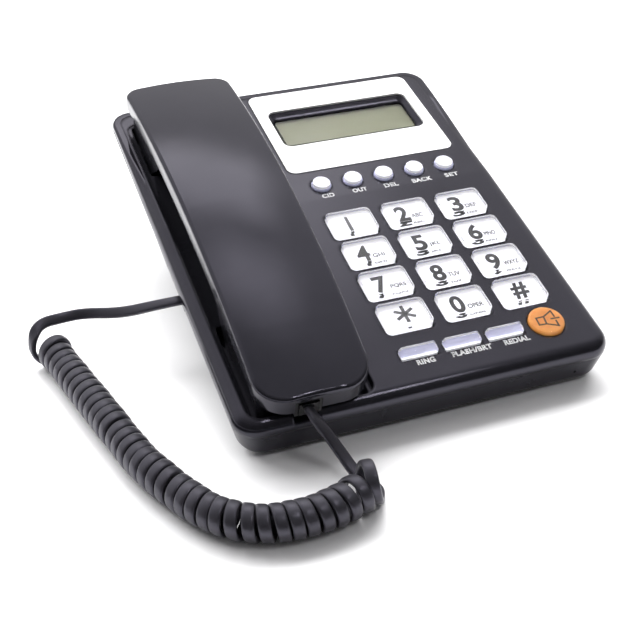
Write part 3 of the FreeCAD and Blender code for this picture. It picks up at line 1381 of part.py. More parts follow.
def check_and_write(parts):
    failures = []
    for item in doc.Objects:
        if "Invalid" in item.State or "Error" in item.State:
            failures.append(f"{item.Name}: {item.State}")
    for pocket in [] if failures else doc.findObjects("PartDesign::Pocket"):
        if not pocket.Shape.Volume < pocket.BaseFeature.Shape.Volume:
            failures.append(f"{pocket.Name}: cuts nothing")
    for part in parts:
        if part.Shape.isNull() or not part.Shape.isValid():
            failures.append(f"{part.Label}: shape is not valid")
    if failures:
        raise SystemExit("\n".join(failures))
    os.makedirs("parts", exist_ok=True)
    for part in parts:
        part.Shape.exportStep(f"parts/{part.Label}.step")
        box = part.Shape.BoundBox
        corners = [round(value, 1) for value in (box.XMin, box.YMin, box.ZMin, box.XMax, box.YMax, box.ZMax)]
        print(part.Label, "solids", len(part.Shape.Solids), "volume", round(part.Shape.Volume, 1), corners)


parts = [lower_case()]
parts += display_pieces()
parts += key_pieces()
parts += boards()
parts += hook_pieces()
parts += sound_pieces()
parts += socket_pieces()
parts += battery_pieces()
parts += screws_and_feet()
parts += [handset_cover(), handset_shell()]
parts += handset_inner_pieces()
for part in parts:
    place_in_slab(part)
parts += [upper_case()]
parts += cord_tubes()
doc.recompute()
check_and_write(parts)
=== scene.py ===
"""Looks of a corded desk telephone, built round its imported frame."""
import math
from collections import Counter

import bmesh
import bpy
import numpy as np
from mathutils import Matrix, Vector


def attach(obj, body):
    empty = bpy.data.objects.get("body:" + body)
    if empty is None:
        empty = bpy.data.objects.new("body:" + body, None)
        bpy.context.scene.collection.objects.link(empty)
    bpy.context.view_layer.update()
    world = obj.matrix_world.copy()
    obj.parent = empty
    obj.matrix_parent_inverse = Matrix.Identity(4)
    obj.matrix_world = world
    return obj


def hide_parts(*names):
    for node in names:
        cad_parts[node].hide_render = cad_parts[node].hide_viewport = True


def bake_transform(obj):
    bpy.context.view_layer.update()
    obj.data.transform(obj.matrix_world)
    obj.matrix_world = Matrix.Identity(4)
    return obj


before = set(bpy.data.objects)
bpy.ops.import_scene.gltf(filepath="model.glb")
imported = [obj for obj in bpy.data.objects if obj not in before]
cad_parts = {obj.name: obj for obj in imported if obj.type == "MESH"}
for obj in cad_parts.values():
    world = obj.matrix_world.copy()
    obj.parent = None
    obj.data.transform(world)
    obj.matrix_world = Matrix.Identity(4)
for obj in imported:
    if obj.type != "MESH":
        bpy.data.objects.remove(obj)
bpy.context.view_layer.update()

SCENE = bpy.context.scene

# Sizes of the case, in millimetres.
TILT = math.radians(13.4)
FOLD = math.radians(2.1)
ORIGIN_Y = 90.6
FOOT = 3.1
FACE = 14
CREASE = 109.5
MM = 0.001

SLAB = Matrix.Scale(MM, 4) @ (
    Matrix.Translation((0, -ORIGIN_Y, FOOT)) @ Matrix.Rotation(TILT, 4, "X")
)
DISPLAY = SLAB @ Matrix.Translation((0, CREASE, FACE)) @ Matrix.Rotation(-FOLD, 4, "X")
ROW = Matrix.Scale(MM, 4)


# ---------------------------------------------------------------- camera

def place_camera():
    data = bpy.data.cameras.new("camera")
    data.lens = 66
    data.sensor_width = 36
    data.clip_start = 0.01
    camera = bpy.data.objects.new("camera", data)
    camera.location = (-0.16276, -0.39809, 0.27132)
    camera.rotation_euler = (math.radians(56.595), 0, math.radians(-20.98))
    SCENE.collection.objects.link(camera)
    SCENE.camera = camera


place_camera()


# ---------------------------------------------------------------- mesh helpers

def mesh_object(name, vertices, faces, matrix=ROW, smooth_angle=30):
    mesh = bpy.data.meshes.new(name)
    mesh.from_pydata([matrix @ Vector(v) for v in vertices], [], faces)
    mesh.validate()
    mesh.shade_smooth()
    mesh.set_sharp_from_angle(angle=math.radians(smooth_angle))
    item = bpy.data.objects.new(name, mesh)
    SCENE.collection.objects.link(item)
    return item


def give(item, *materials):
    for material in materials:
        item.data.materials.append(material)
    return item


def outline(width, depth, corner, steps=5):
    """Points round a rounded rectangle, counterclockwise from its right side."""
    points = []
    for quarter in range(4):
        sign_x = 1 if quarter in (0, 3) else -1
        sign_y = 1 if quarter in (0, 1) else -1
        for step in range(steps + 1):
            angle = (quarter + step / steps) * math.pi / 2
            points.append(
                (
                    sign_x * (width / 2 - corner) + corner * math.cos(angle),
                    sign_y * (depth / 2 - corner) + corner * math.sin(angle),
                )
            )
    return points


def ring_outline(radius, steps=48):
    return [
        (radius * math.cos(2 * math.pi * i / steps), radius * math.sin(2 * math.pi * i / steps))
        for i in range(steps)
    ]


def tube(rows, count):
    """Faces of a closed body through rows of points, count of them in each row."""
    faces = [tuple(reversed(range(count)))]
    last = (rows - 1) * count
    for low in range(0, last, count):
        for i in range(count):
            j = (i + 1) % count
            faces.append((low + i, low + j, low + count + j, low + count + i))
    faces.append(tuple(range(last, last + count)))
    return faces


def stack(levels):
    """Vertices and faces of a closed body through outlines at rising heights."""
    vertices = [(x, y, z) for points, z in levels for x, y in points]
    return vertices, tube(len(levels), len(levels[0][0]))


def flattened(data):
    """Points and faces that a curve or a text makes; the curve or text is removed again."""
    item = bpy.data.objects.new(data.name, data)
    mesh = bpy.data.meshes.new_from_object(item)
    points = np.array([v.co for v in mesh.vertices])
    faces = [tuple(p.vertices) for p in mesh.polygons]
    bpy.data.objects.remove(item)
    bpy.data.curves.remove(data)
    bpy.data.meshes.remove(mesh)
    return points, faces


# ---------------------------------------------------------------- materials

def shader_of(name):
    material = bpy.data.materials.new(name)
    material.use_nodes = True
    tree = material.node_tree
    return material, tree, tree.nodes["Principled BSDF"]


def noise(tree, size, detail=3, roughness=0.5, distortion=0):
    """Noise with features of about size metres."""
    coordinates = tree.nodes.new("ShaderNodeTexCoord")
    node = tree.nodes.new("ShaderNodeTexNoise")
    node.inputs["Scale"].default_value = 1 / size
    node.inputs["Detail"].default_value = detail
    node.inputs["Roughness"].default_value = roughness
    node.inputs["Distortion"].default_value = distortion
    tree.links.new(coordinates.outputs["Object"], node.inputs["Vector"])
    return node.outputs["Fac"]


def ranged(tree, value, low, high, out_low, out_high):
    node = tree.nodes.new("ShaderNodeMapRange")
    limits = {"From Min": low, "From Max": high, "To Min": out_low, "To Max": out_high}
    for key, number in limits.items():
        node.inputs[key].default_value = number
    tree.links.new(value, node.inputs["Value"])
    return node.outputs["Result"]


def ramp(tree, value, stops):
    node = tree.nodes.new("ShaderNodeValToRGB")
    elements = node.color_ramp.elements
    while len(elements) < len(stops):
        elements.new(0.5)
    for element, (position, colour) in zip(elements, stops):
        element.position = position
        element.color = (*colour, 1)
    tree.links.new(value, node.inputs["Fac"])
    return node.outputs["Color"]


def mixed(tree, factor, first, second):
    """Colour mix of two colours or sockets."""
    node = tree.nodes.new("ShaderNodeMix")
    node.data_type = "RGBA"
    tree.links.new(factor, node.inputs["Factor"])
    for key, value in (("A", first), ("B", second)):
        socket = [s for s in node.inputs if s.name == key and s.type == "RGBA"][0]
        if isinstance(value, tuple):
            socket.default_value = (*value, 1)
        else:
            tree.links.new(value, socket)
    return [s for s in node.outputs if s.type == "RGBA"][0]


def bumped(tree, shader, height, depth, strength=1.0):
    node = tree.nodes.new("ShaderNodeBump")
    node.inputs["Distance"].default_value = depth
    node.inputs["Strength"].default_value = strength
    tree.links.new(height, node.inputs["Height"])
    tree.links.new(node.outputs["Normal"], shader.inputs["Normal"])
    return node


# Dust specks: spacing and radius in metres, and the share of places that carry one.
SPECK_SPACING, SPECK_RADIUS, SPECK_SHARE = 0.007, 0.00022, 0.16


def specks(tree, spacing, radius, share):
    """1 on a few small dust specks and 0 elsewhere."""
    coordinates = tree.nodes.new("ShaderNodeTexCoord")
    cells = tree.nodes.new("ShaderNodeTexVoronoi")
    cells.inputs["Scale"].default_value = 1 / spacing
    tree.links.new(coordinates.outputs["Object"], cells.inputs["Vector"])
    near = ranged(tree, cells.outputs["Distance"], radius * 0.6 / spacing, radius / spacing, 1, 0)
    pick = tree.nodes.new("ShaderNodeSeparateColor")
    tree.links.new(cells.outputs["Color"], pick.inputs["Color"])
    chosen = ranged(tree, pick.outputs["Red"], 1 - share, 1 - share + 0.01, 0, 1)
    both = tree.nodes.new("ShaderNodeMath")
    both.operation = "MULTIPLY"
    tree.links.new(near, both.inputs[0])
    tree.links.new(chosen, both.inputs[1])
    return both.outputs["Value"]


def plastic(
    name, dark, light, rough, grain, depth,
    dust=None, specular=0.5, tint=None, soft_edge=0, painted_glow=0, patches=0.03,
):
    """Moulded plastic: two close colours, uneven gloss, a fine grain and some dust.

    grain and depth are the grain's size and height, soft_edge the radius that edges look rounded by
    and patches the size of the colour's patches, all in metres. painted_glow is the strength of
    emission in the light colour, a painted glow that makes the part look lit though it is no lamp.
    """
    material, tree, shader = shader_of(name)
    cloud = noise(tree, patches, 4, 0.6)
    colour = ramp(tree, cloud, [(0.35, dark), (0.7, light)])
    if dust:
        dots = specks(tree, SPECK_SPACING, SPECK_RADIUS, SPECK_SHARE)
        colour = mixed(tree, dots, colour, dust)
    tree.links.new(colour, shader.inputs["Base Color"])
    smear = noise(tree, 0.018, 5, 0.65, 0.6)
    tree.links.new(ranged(tree, smear, 0.3, 0.75, *rough), shader.inputs["Roughness"])
    shader.inputs["Specular IOR Level"].default_value = specular
    if tint:
        shader.inputs["Specular Tint"].default_value = (*tint, 1)
    # Painted light: the emission makes the part glow as if lit, though it is no lamp.
    if painted_glow:
        shader.inputs["Emission Color"].default_value = (*light, 1)
        shader.inputs["Emission Strength"].default_value = painted_glow
    bump = bumped(tree, shader, noise(tree, grain, 2), depth)
    if soft_edge:
        edge = tree.nodes.new("ShaderNodeBevel")
        edge.samples = 6
        edge.inputs["Radius"].default_value = soft_edge
        tree.links.new(edge.outputs["Normal"], bump.inputs["Normal"])
    return material


def clear(name, colour, roughness, ior=1.49):
    """Clear moulded plastic with faint flow marks."""
    material, tree, shader = shader_of(name)
    flow = noise(tree, 0.004, 2)
    warm = tuple(min(1, c * 1.01) for c in colour)
    shade = ramp(tree, flow, [(0.3, colour), (0.7, warm)])
    uneven = ranged(tree, flow, 0.2, 0.8, roughness, roughness * 2)
    tree.links.new(shade, shader.inputs["Base Color"])
    tree.links.new(uneven, shader.inputs["Roughness"])
    shader.inputs["Transmission Weight"].default_value = 1
    shader.inputs["IOR"].default_value = ior
    return material


def display_look():
    """Grey-green liquid crystal display at rest, slightly uneven."""
    material, tree, shader = shader_of("display")
    cloud = noise(tree, 0.02, 3)
    colour = ramp(tree, cloud, [(0.3, (0.2, 0.208, 0.105)), (0.7, (0.228, 0.232, 0.124))])
    tree.links.new(colour, shader.inputs["Base Color"])
    tree.links.new(ranged(tree, cloud, 0.3, 0.7, 0.34, 0.42), shader.inputs["Roughness"])
    shader.inputs["Specular IOR Level"].default_value = 0.4
    bumped(tree, shader, noise(tree, 0.0004, 2), 0.000004)
    return material


def metal(name, dark, light, rough):
    material, tree, shader = shader_of(name)
    cloud = noise(tree, 0.002, 4)
    tree.links.new(ramp(tree, cloud, [(0.3, dark), (0.7, light)]), shader.inputs["Base Color"])
    tree.links.new(ranged(tree, cloud, 0.3, 0.7, *rough), shader.inputs["Roughness"])
    shader.inputs["Metallic"].default_value = 1
    bumped(tree, shader, noise(tree, 0.0005, 2), 0.00001)
    return material


VIOLET = (0.84, 0.81, 1.0)
BLACK = (0.010, 0.010, 0.0125)
NEAR_BLACK = (0.0135, 0.0132, 0.0165)
DUST = (0.16, 0.16, 0.17)
GLOSS = plastic(
    "case", BLACK, NEAR_BLACK, (0.09, 0.16), 0.0011, 0.0000012,
    dust=DUST, specular=0.6, tint=VIOLET,
)
CASE_TOP = plastic(
    "case_top", BLACK, NEAR_BLACK, (0.10, 0.17), 0.0011, 0.0000012,
    dust=DUST, specular=0.6, tint=VIOLET, soft_edge=0.0016,
)
SATIN = plastic("case_lower", BLACK, NEAR_BLACK, (0.2, 0.3), 0.0006, 0.000004, tint=VIOLET)
PLATE = plastic("plate", (0.80, 0.80, 0.81), (0.86, 0.86, 0.86), (0.22, 0.32), 0.0009, 0.000002)
# The key labels get a painted glow that brightens them under the clear caps.
LABEL = plastic(
    "key", (0.90, 0.90, 0.92), (0.94, 0.94, 0.96), (0.35, 0.45), 0.0007, 0.000002,
    painted_glow=0.3,
)
# A painted glow brightens the pale violet key parts.
PALE_VIOLET = plastic(
    "key_violet", (0.45, 0.455, 0.62), (0.53, 0.535, 0.70), (0.35, 0.45), 0.0007, 0.000002,
    painted_glow=0.12,
)
INK = plastic("ink", (0.012, 0.012, 0.013), (0.02, 0.02, 0.021), (0.35, 0.5), 0.0004, 0.000002)
PRINT = plastic("print", (0.84, 0.84, 0.85), (0.9, 0.9, 0.9), (0.35, 0.5), 0.0004, 0.000002)
CORD = plastic(
    "cord", (0.022, 0.0215, 0.025), (0.03, 0.0293, 0.034), (0.3, 0.42), 0.0009, 0.000012,
    specular=0.7, tint=VIOLET,
)
SOCKET = plastic(
    "socket", (0.012, 0.012, 0.013), (0.018, 0.018, 0.019), (0.4, 0.5), 0.0005, 0.000006,
)
BOARD = plastic("board", (0.02, 0.09, 0.035), (0.03, 0.12, 0.05), (0.35, 0.5), 0.0008, 0.000008)
MAT = plastic("mat", (0.28, 0.28, 0.29), (0.34, 0.34, 0.35), (0.6, 0.75), 0.0008, 0.00001)
INNER = plastic("inner", (0.03, 0.03, 0.032), (0.05, 0.05, 0.052), (0.5, 0.6), 0.0008, 0.00001)
CELL = plastic("cell", (0.10, 0.12, 0.16), (0.13, 0.15, 0.20), (0.3, 0.4), 0.0009, 0.000004)
FOOT_RUBBER = plastic(
    "foot", (0.02, 0.02, 0.02), (0.035, 0.035, 0.035), (0.7, 0.85), 0.0005, 0.00002,
)
STEEL = metal("steel", (0.45, 0.45, 0.46), (0.6, 0.6, 0.61), (0.25, 0.4))
DISPLAY_GREEN = display_look()
WINDOW = clear("window", (0.97, 0.98, 0.97), 0.01)
CAP = clear("key_cap", (0.955, 0.95, 0.995), 0.012)
ORANGE_CAP = clear("orange_cap", (1.0, 0.72, 0.46), 0.015)
# A painted glow brightens the orange key.
ORANGE = plastic(
    "orange_key", (0.62, 0.26, 0.07), (0.78, 0.5, 0.19), (0.35, 0.45), 0.0007, 0.000002,
    painted_glow=0.12, patches=0.012,
)
PLUG = clear("plug", (0.35, 0.35, 0.36), 0.08)

BY_SLOT = {
    "case": GLOSS,
    "plate": PLATE,
    "window": WINDOW,
    "display": DISPLAY_GREEN,
    "key": LABEL,
    "round_key": LABEL,
    "orange_key": ORANGE,
    "board": BOARD,
    "mat": MAT,
    "inner": INNER,
    "socket": SOCKET,
    "plug": PLUG,
    "cord": CORD,
    "steel": STEEL,
    "cell": CELL,
    "foot": FOOT_RUBBER,
}
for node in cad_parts.values():
    for place in node.material_slots:
        place.material = BY_SLOT[place.material.name.split(".")[0]]
for name in ("lower_case", "battery_door", "handset_shell"):
    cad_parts[name].material_slots[0].material = SATIN
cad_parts["upper_case"].material_slots[0].material = CASE_TOP


# ---------------------------------------------------------------- cord

# Section of the flat cord, in millimetres.
CORD_WIDE = 4.4
CORD_THICK = 2.2
SECTION_POINTS = 24
SECTION_POWER = 2 / 3.2

# Curly part: course of its middle over the table, radius and turns.
COIL_POLES = [
    (-125.4, -4.9),
    (-112.5, -66.5),
    (-107, -91.5),
    (-89.5, -127.5),
    (-57, -133.2),
    (-40.4, -125.4),
]
COIL_STEPS = 48
COIL_RADIUS = 5.45
FIRST_TURN, COIL_TURNS = 0.13, 37.25
TURN_POINTS = 28
OVER_TABLE = 0.05

# How its first turns, its last turns and its very last, loose ring differ from the rest.
BEGUN_TURNS, BEGUN_WIDER, BEGUN_LEAN = 1.7, 0.6, (0.1, 0.03, 0)
GROWN_TURNS, GROWN_WIDER = 7, 0.8
OPEN_TURNS, OPEN_WIDER, OPEN_RAISED = 2.2, 1.5, 0.6
OPEN_LEAN, OPEN_SHIFT = (-0.07, -0.7, 0.12), (2.9, 1.2, 0)

# Course of the two leads. The pole next to the coil is a shift from the coil's end.
BASE_PLUG_END = (-74.5, -16.91, 25.18)
HANDSET_PLUG_END = (-50.5, -95.15, 21.34)
BASE_COURSE = [
    BASE_PLUG_END,
    (-84.5, -16.9, 25.15),
    (-97, -7.5, 18.5),
    (-110, 4.5, 14.3),
    (-119, 4.6, 14),
    (-127.2, 1.6, 15.4),
    (-131.2, -2, 13.6),
    (-133.2, -4.9, 7.6),
]
BEFORE_COIL = (-1.8, 0.2, 1)
AFTER_COIL = (1.8, 3.2, -0.4)
HANDSET_COURSE = [
    (-39.8, -115.5, 2.4),
    (-45, -104.5, 12),
    (-50.5, -98.4, 20.6),
    HANDSET_PLUG_END,
]
LEAD_STEPS = 16


def smooth_line(poles, steps):
    """Points along the smooth line that a route's poles give, in millimetres."""
    data = bpy.data.curves.new("line", "CURVE")
    data.dimensions = "3D"
    spline = data.splines.new("NURBS")
    spline.points.add(len(poles) - 1)
    for point, pole in zip(spline.points, poles):
        point.co = (*pole, 1)
    spline.order_u = 3
    spline.use_endpoint_u = True
    spline.resolution_u = steps
    data.resolution_u = steps
    return flattened(data)[0]


def lengths_along(points):
    steps = np.linalg.norm(np.diff(points, axis=0), axis=1)
    return np.concatenate([[0], np.cumsum(steps)])


def at_length(points, lengths, wanted):
    return np.array([np.interp(wanted, lengths, points[:, axis]) for axis in range(3)]).T


def unit(vectors):
    return vectors / np.linalg.norm(vectors, axis=-1, keepdims=True)


def eased(share):
    """Share from 0 to 1 that starts and ends gently."""
    share = np.clip(share, 0, 1)
    return share * share * (3 - 2 * share)


def helix():
    """Points of the curly part and the direction of the cord's wide side at each."""
    line = smooth_line([(x, y, 0) for x, y in COIL_POLES], COIL_STEPS)
    lengths = lengths_along(line)
    whole = lengths[-1]
    turns = np.linspace(FIRST_TURN, COIL_TURNS, int(COIL_TURNS * TURN_POINTS) + 1)
    uneven = 0.10 * np.sin(turns * 0.9) + 0.05 * np.sin(turns * 2.3 + 1)
    share = (turns + uneven * np.sin(np.pi * turns / COIL_TURNS)) / COIL_TURNS
    middle = at_length(line, lengths, share * whole)
    ahead = at_length(line, lengths, np.clip(share * whole + 1, 0, whole))
    behind = at_length(line, lengths, np.clip(share * whole - 1, 0, whole))
    forward = unit(ahead - behind)
    begun = eased(1 - turns / BEGUN_TURNS)
    grown = np.clip((turns - COIL_TURNS + GROWN_TURNS) / GROWN_TURNS, 0, 1)
    opened = eased((turns - COIL_TURNS + OPEN_TURNS) / OPEN_TURNS)
    radius = COIL_RADIUS + 0.07 * np.sin(turns * 1.7) + 0.06 * np.sin(turns * 0.61 + 2)
    radius += BEGUN_WIDER * begun + GROWN_WIDER * grown + OPEN_WIDER * opened
    lean = np.outer(opened, OPEN_LEAN) + np.outer(begun, BEGUN_LEAN)
    forward = unit(forward + lean)
    across = unit(np.cross([0, 0, 1.0], forward))
    up = np.cross(forward, across)
    middle += np.outer(opened, OPEN_SHIFT)
    middle[:, 2] = radius + CORD_THICK / 2 + OVER_TABLE + OPEN_RAISED * opened
    angle = (np.pi + 2 * np.pi * turns)[:, None]
    spots = middle + radius[:, None] * (across * np.cos(angle) + up * np.sin(angle))
    return spots, forward


def rounded(waves, size):
    """Sine or cosine values turned into a rounded rectangle's, size across."""
    return np.sign(waves) * np.abs(waves) ** SECTION_POWER * size / 2


def ribbon(name, spots, wide):
    """Mesh of a flat cord with rounded sides along spots, its wide side along wide."""
    forward = unit(np.gradient(spots, axis=0))
    wide = unit(wide - forward * np.sum(wide * forward, axis=1, keepdims=True))
    thin = np.cross(forward, wide)
    angles = np.linspace(0, 2 * np.pi, SECTION_POINTS, endpoint=False)
    section_x = rounded(np.cos(angles), CORD_WIDE)
    section_y = rounded(np.sin(angles), CORD_THICK)
    vertices = (
        spots[:, None, :]
        + wide[:, None, :] * section_x[None, :, None]
        + thin[:, None, :] * section_y[None, :, None]
    ).reshape(-1, 3)
    return mesh_object(name, vertices, tube(len(spots), SECTION_POINTS), smooth_angle=60)


def turned(directions, count):
    """Directions that turn evenly through the given ones."""
    share = np.linspace(0, len(directions) - 1, count)
    first = np.minimum(share.astype(int), len(directions) - 2)
    part = eased(share - first)[:, None]
    directions = unit(np.array(directions, float))
    return unit(directions[first] * (1 - part) + directions[first + 1] * part)


def moved(point, by):
    return tuple(c + step for c, step in zip(point, by))


def make_cord():
    spots, wide = helix()
    start, end = spots[0], spots[-1]
    base_lead = smooth_line([*BASE_COURSE, moved(start, BEFORE_COIL), tuple(start)], LEAD_STEPS)
    handset_lead = smooth_line([tuple(end), moved(end, AFTER_COIL), *HANDSET_COURSE], LEAD_STEPS)
    line = np.vstack([base_lead[:-1], spots, handset_lead[1:]])
    plug_wide = (0, math.cos(TILT), math.sin(TILT))
    base_sides = [plug_wide, (0.1, 0.6, 0.8), (0, 0.75, 0.5), -wide[0]]
    handset_sides = [-wide[-1], (-0.9, -0.38, 0.4)]
    sides = np.vstack(
        [
            turned(base_sides, len(base_lead) - 1),
            -wide,
            turned(handset_sides, len(handset_lead) - 1),
        ]
    )
    cord = give(ribbon("cord", line, sides), CORD)
    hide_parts("cord_lead_base", "cord_coil", "cord_lead_handset")
    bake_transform(cord)


make_cord()


# ---------------------------------------------------------------- lettering

LETTER_HEIGHT = 2.35
LETTER_BOLDER = 0.012
LETTER_STOUTER = 0.09
LETTER_SPACING = 1.08
PRINT_LOW, PRINT_HIGH = -0.02, 0.025
# Lettering of the case: plane, middle, height of the face in the plane, text and width.
PRINT_PLACES = [
    (SLAB, 0.7, 12.75, FACE, "RING", 7.2),
    (SLAB, 19.7, 12.75, FACE, "FLASH/BRT", 16.4),
    (SLAB, 38.7, 12.75, FACE, "REDIAL", 10.6),
    (DISPLAY, -0.95, 1.4, 0, "CID", 5.3),
    (DISPLAY, 13.5, 1.5, 0, "OUT", 6.4),
    (DISPLAY, 27.95, 1.2, 0, "DEL", 6.3),
    (DISPLAY, 42.35, 1.0, 0, "BACK", 8.9),
    (DISPLAY, 56.6, 1.0, 0, "SET", 6.2),
]


def lettering(text, height, bolder=0.0, width=None, spacing=1.0):
    """Flat letters of that height and width in millimetres, centred, as vertices and faces."""
    data = bpy.data.curves.new("letters", "FONT")
    data.body = text
    data.offset = bolder
    data.space_character = spacing
    points, faces = flattened(data)
    low, high = points.min(0), points.max(0)
    scale = height / (high[1] - low[1])
    across = width / (high[0] - low[0]) if width else scale
    return (points - (low + high) / 2) * [across, scale, 1], faces


def stout(letters, by):
    """The same letters with thicker strokes, from copies moved by that much each way."""
    points, faces = letters
    moves = [(x * by, y * by, 0) for x in (-1, 1) for y in (-1, 1)]
    copies = [tuple(i + len(points) * n for i in face) for n in range(4) for face in faces]
    return np.vstack([points + list(move) for move in moves]), copies


def raised(points, faces, low, high):
    """Thin solid of flat faces between two heights."""
    count = len(points)
    vertices = [(x, y, z) for z in (low, high) for x, y, _ in points]
    edges = [edge for face in faces for edge in zip(face, face[1:] + face[:1])]
    uses = Counter(frozenset(edge) for edge in edges)
    rims = [edge for edge in edges if uses[frozenset(edge)] == 1]
    out = [face[:1] + face[:0:-1] for face in faces]
    out += [tuple(i + count for i in face) for face in faces]
    out += [(a, b, b + count, a + count) for a, b in rims]
    return vertices, out


def make_print():
    for plane, x, y, level, text, width in PRINT_PLACES:
        letters = lettering(text, LETTER_HEIGHT, LETTER_BOLDER, width, LETTER_SPACING)
        points, faces = stout(letters, LETTER_STOUTER)
        vertices, faces = raised(points, faces, level + PRINT_LOW, level + PRINT_HIGH)
        place = plane @ Matrix.Translation((x, y, 0))
        name = "print_" + text.replace("/", "_").lower()
        item = give(mesh_object(name, vertices, faces, place), PRINT)
        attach(item, "base")


make_print()


# ---------------------------------------------------------------- back rim

HALF_WIDTH = 76
BACK_EDGE = 82.9
CASE_CORNER = 9.5
CORNER_STEPS = 8
LIP = 5
# Section of the rim: distance in from the case's outline, and height over the display face.
SHARP_RIM = [
    (3.7, -0.3),
    (3.5, 0.03),
    (1.4, 0.03),
    (0.75, -0.02),
    (0.35, -0.3),
    (0.1, -0.8),
    (0.05, -1.7),
    (0.4, -3.6),
]
# Share of that section at places along the side, and how deep the rim lies in the lip elsewhere.
RIM_SHARES = [(2, 0), (12, 0.05), (22, 0.18), (32, 0.4), (42, 0.62), (52, 0.8), (62, 0.93)]
RIM_SUNK = 0.15


def make_back_rim():
    """Crisp rim along the back of the display face, easing into the rounded lip at the sides."""
    spots = [(HALF_WIDTH, y, 1, 0, share) for y, share in RIM_SHARES]
    for step in range(CORNER_STEPS + 1):
        angle = math.radians(step * 90 / CORNER_STEPS)
        out_x, out_y = math.cos(angle), math.sin(angle)
        x = HALF_WIDTH - CASE_CORNER + CASE_CORNER * out_x
        y = BACK_EDGE - CASE_CORNER + CASE_CORNER * out_y
        spots.append((x, y, out_x, out_y, 1))
    spots += [(-x, y, -out_x, out_y, share) for x, y, out_x, out_y, share in reversed(spots)]
    vertices = []
    for x, y, out_x, out_y, share in spots:
        for i, (inset, height) in enumerate(SHARP_RIM):
            angle = math.pi / 2 * i / (len(SHARP_RIM) - 1)
            low_inset = LIP * (1 - math.sin(angle)) + RIM_SUNK
            low_height = -LIP * (1 - math.cos(angle)) - RIM_SUNK
            inset = share * inset + (1 - share) * low_inset
            height = share * height + (1 - share) * low_height
            vertices.append((x - out_x * inset, y - out_y * inset, height))
    faces = tube(len(spots), len(SHARP_RIM))
    rim = give(mesh_object("back_rim", vertices, faces, DISPLAY, 40), GLOSS)
    mesh = bmesh.new()
    mesh.from_mesh(rim.data)
    bmesh.ops.recalc_face_normals(mesh, faces=mesh.faces)
    mesh.to_mesh(rim.data)
    mesh.free()
    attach(rim, "base")


make_back_rim()


# ---------------------------------------------------------------- keys

KEY_LEFT, KEY_FRONT = 1.9, 35.75
PITCH_X, PITCH_Y = 25, 18.33
KEY_WIDE, KEY_DEEP, KEY_CORNER = 19.75, 14.3, 2.2
KEY_SET_BACK = 0.38
KEY_RISE = 2.25
LABEL_RISE = -1.3
DIAL = [
    [("key_star", "*", ""), ("key_0", "0", "OPER"), ("key_hash", "#", "")],
    [("key_7", "7", "PQRS"), ("key_8", "8", "TUV"), ("key_9", "9", "WXYZ")],
    [("key_4", "4", "GHI"), ("key_5", "5", "JKL"), ("key_6", "6", "MNO")],
    [("key_1", "I", ""), ("key_2", "2", "ABC"), ("key_3", "3", "DEF")],
]
# Heights of every key's flange, made dark as painted shade in the gap round the key, and of the
# foot of its body, under the face.
FLANGE_LOW, FLANGE_TOP, BODY_LOW = -3.2, -2.3, -2.25
# Material slots of a key's body.
BODY_SLOT, INK_SLOT, PAINTED_SHADE_FLANGE_SLOT, STRIP_SLOT = 0, 1, 2, 3


def make_cap(node, place, levels, material):
    """Clear cap of a key, from outlines at heights over the face."""
    vertices, faces = stack(levels)
    cap = give(mesh_object(node + "_cap", vertices, faces, place), material)
    bevel = cap.modifiers.new("edges", "BEVEL")
    bevel.width = 0.12 * MM
    bevel.segments = 2
    bevel.limit_method = "ANGLE"
    bevel.angle_limit = math.radians(25)
    bevel.harden_normals = True
    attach(cap, node)
    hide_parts(node)


def on_flange(flange, body, top):
    """Levels of a key's body, up to that height, on its flange."""
    return [(flange, FLANGE_LOW), (flange, FLANGE_TOP), (body, BODY_LOW), (body, top)]


def make_core(node, place, levels, prints, colour, ink=INK, tall=0.02):
    """Inner body of a key on its flange, which is dark as painted shade in the gap round the key,
    with its prints and pale violet edge strips.
    """
    vertices, faces = stack(levels)
    flange = 1 + 2 * len(levels[0][0])
    slots = [PAINTED_SHADE_FLANGE_SLOT] * flange + [BODY_SLOT] * (len(faces) - flange)
    top = levels[-1][1]
    for points, extra, *slot in prints:
        spots, more = raised(points, extra, top - 0.01, top + tall)
        faces += [tuple(i + len(vertices) for i in face) for face in more]
        slots += (slot or [INK_SLOT]) * len(more)
        vertices = list(vertices) + spots
    core = mesh_object(node + "_core", vertices, faces, place)
    # The flange gets the dark socket plastic: painted shade in the gap round the key.
    give(core, colour, ink, SOCKET, PALE_VIOLET)
    for polygon, slot in zip(core.data.polygons, slots):
        polygon.material_index = slot
    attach(core, node)


def shifted(letters, x, y):
    points, faces = letters
    return points + [x, y, 0], faces


def strokes(lines, half):
    """Line drawing as flat quads of that half width."""
    points, faces = [], []
    for line in lines:
        for (x0, y0), (x1, y1) in zip(line, line[1:]):
            run = math.hypot(x1 - x0, y1 - y0)
            dx, dy = (x1 - x0) / run * half, (y1 - y0) / run * half
            first = len(points)
            points += [
                (x0 - dx + dy, y0 - dy - dx, 0),
                (x1 + dx + dy, y1 + dy - dx, 0),
                (x1 + dx - dy, y1 + dy + dx, 0),
                (x0 - dx - dy, y0 - dy + dx, 0),
            ]
            faces.append((first, first + 1, first + 2, first + 3))
    return np.array(points), faces


def strip(x0, x1, y0, y1):
    """Pale strip on top of a key's body."""
    corners = [(x0, y0, 0), (x1, y0, 0), (x1, y1, 0), (x0, y1, 0)]
    return np.array(corners), [(0, 1, 2, 3)], STRIP_SLOT


DIGIT_HEIGHT = 8.8
STAR_REACH = 3.7
STAR_ARMS = [
    [(-STAR_REACH * c, -STAR_REACH * s), (STAR_REACH * c, STAR_REACH * s)]
    for c, s in ((0, 1), (0.87, 0.5), (0.87, -0.5))
]
DIAL_STRIPS = [
    strip(-8.6, 8.6, KEY_DEEP / 2 - 0.5, KEY_DEEP / 2 - 0.2),
    strip(-9.65, -8.9, 1.5, KEY_DEEP / 2 - 2.3),
]


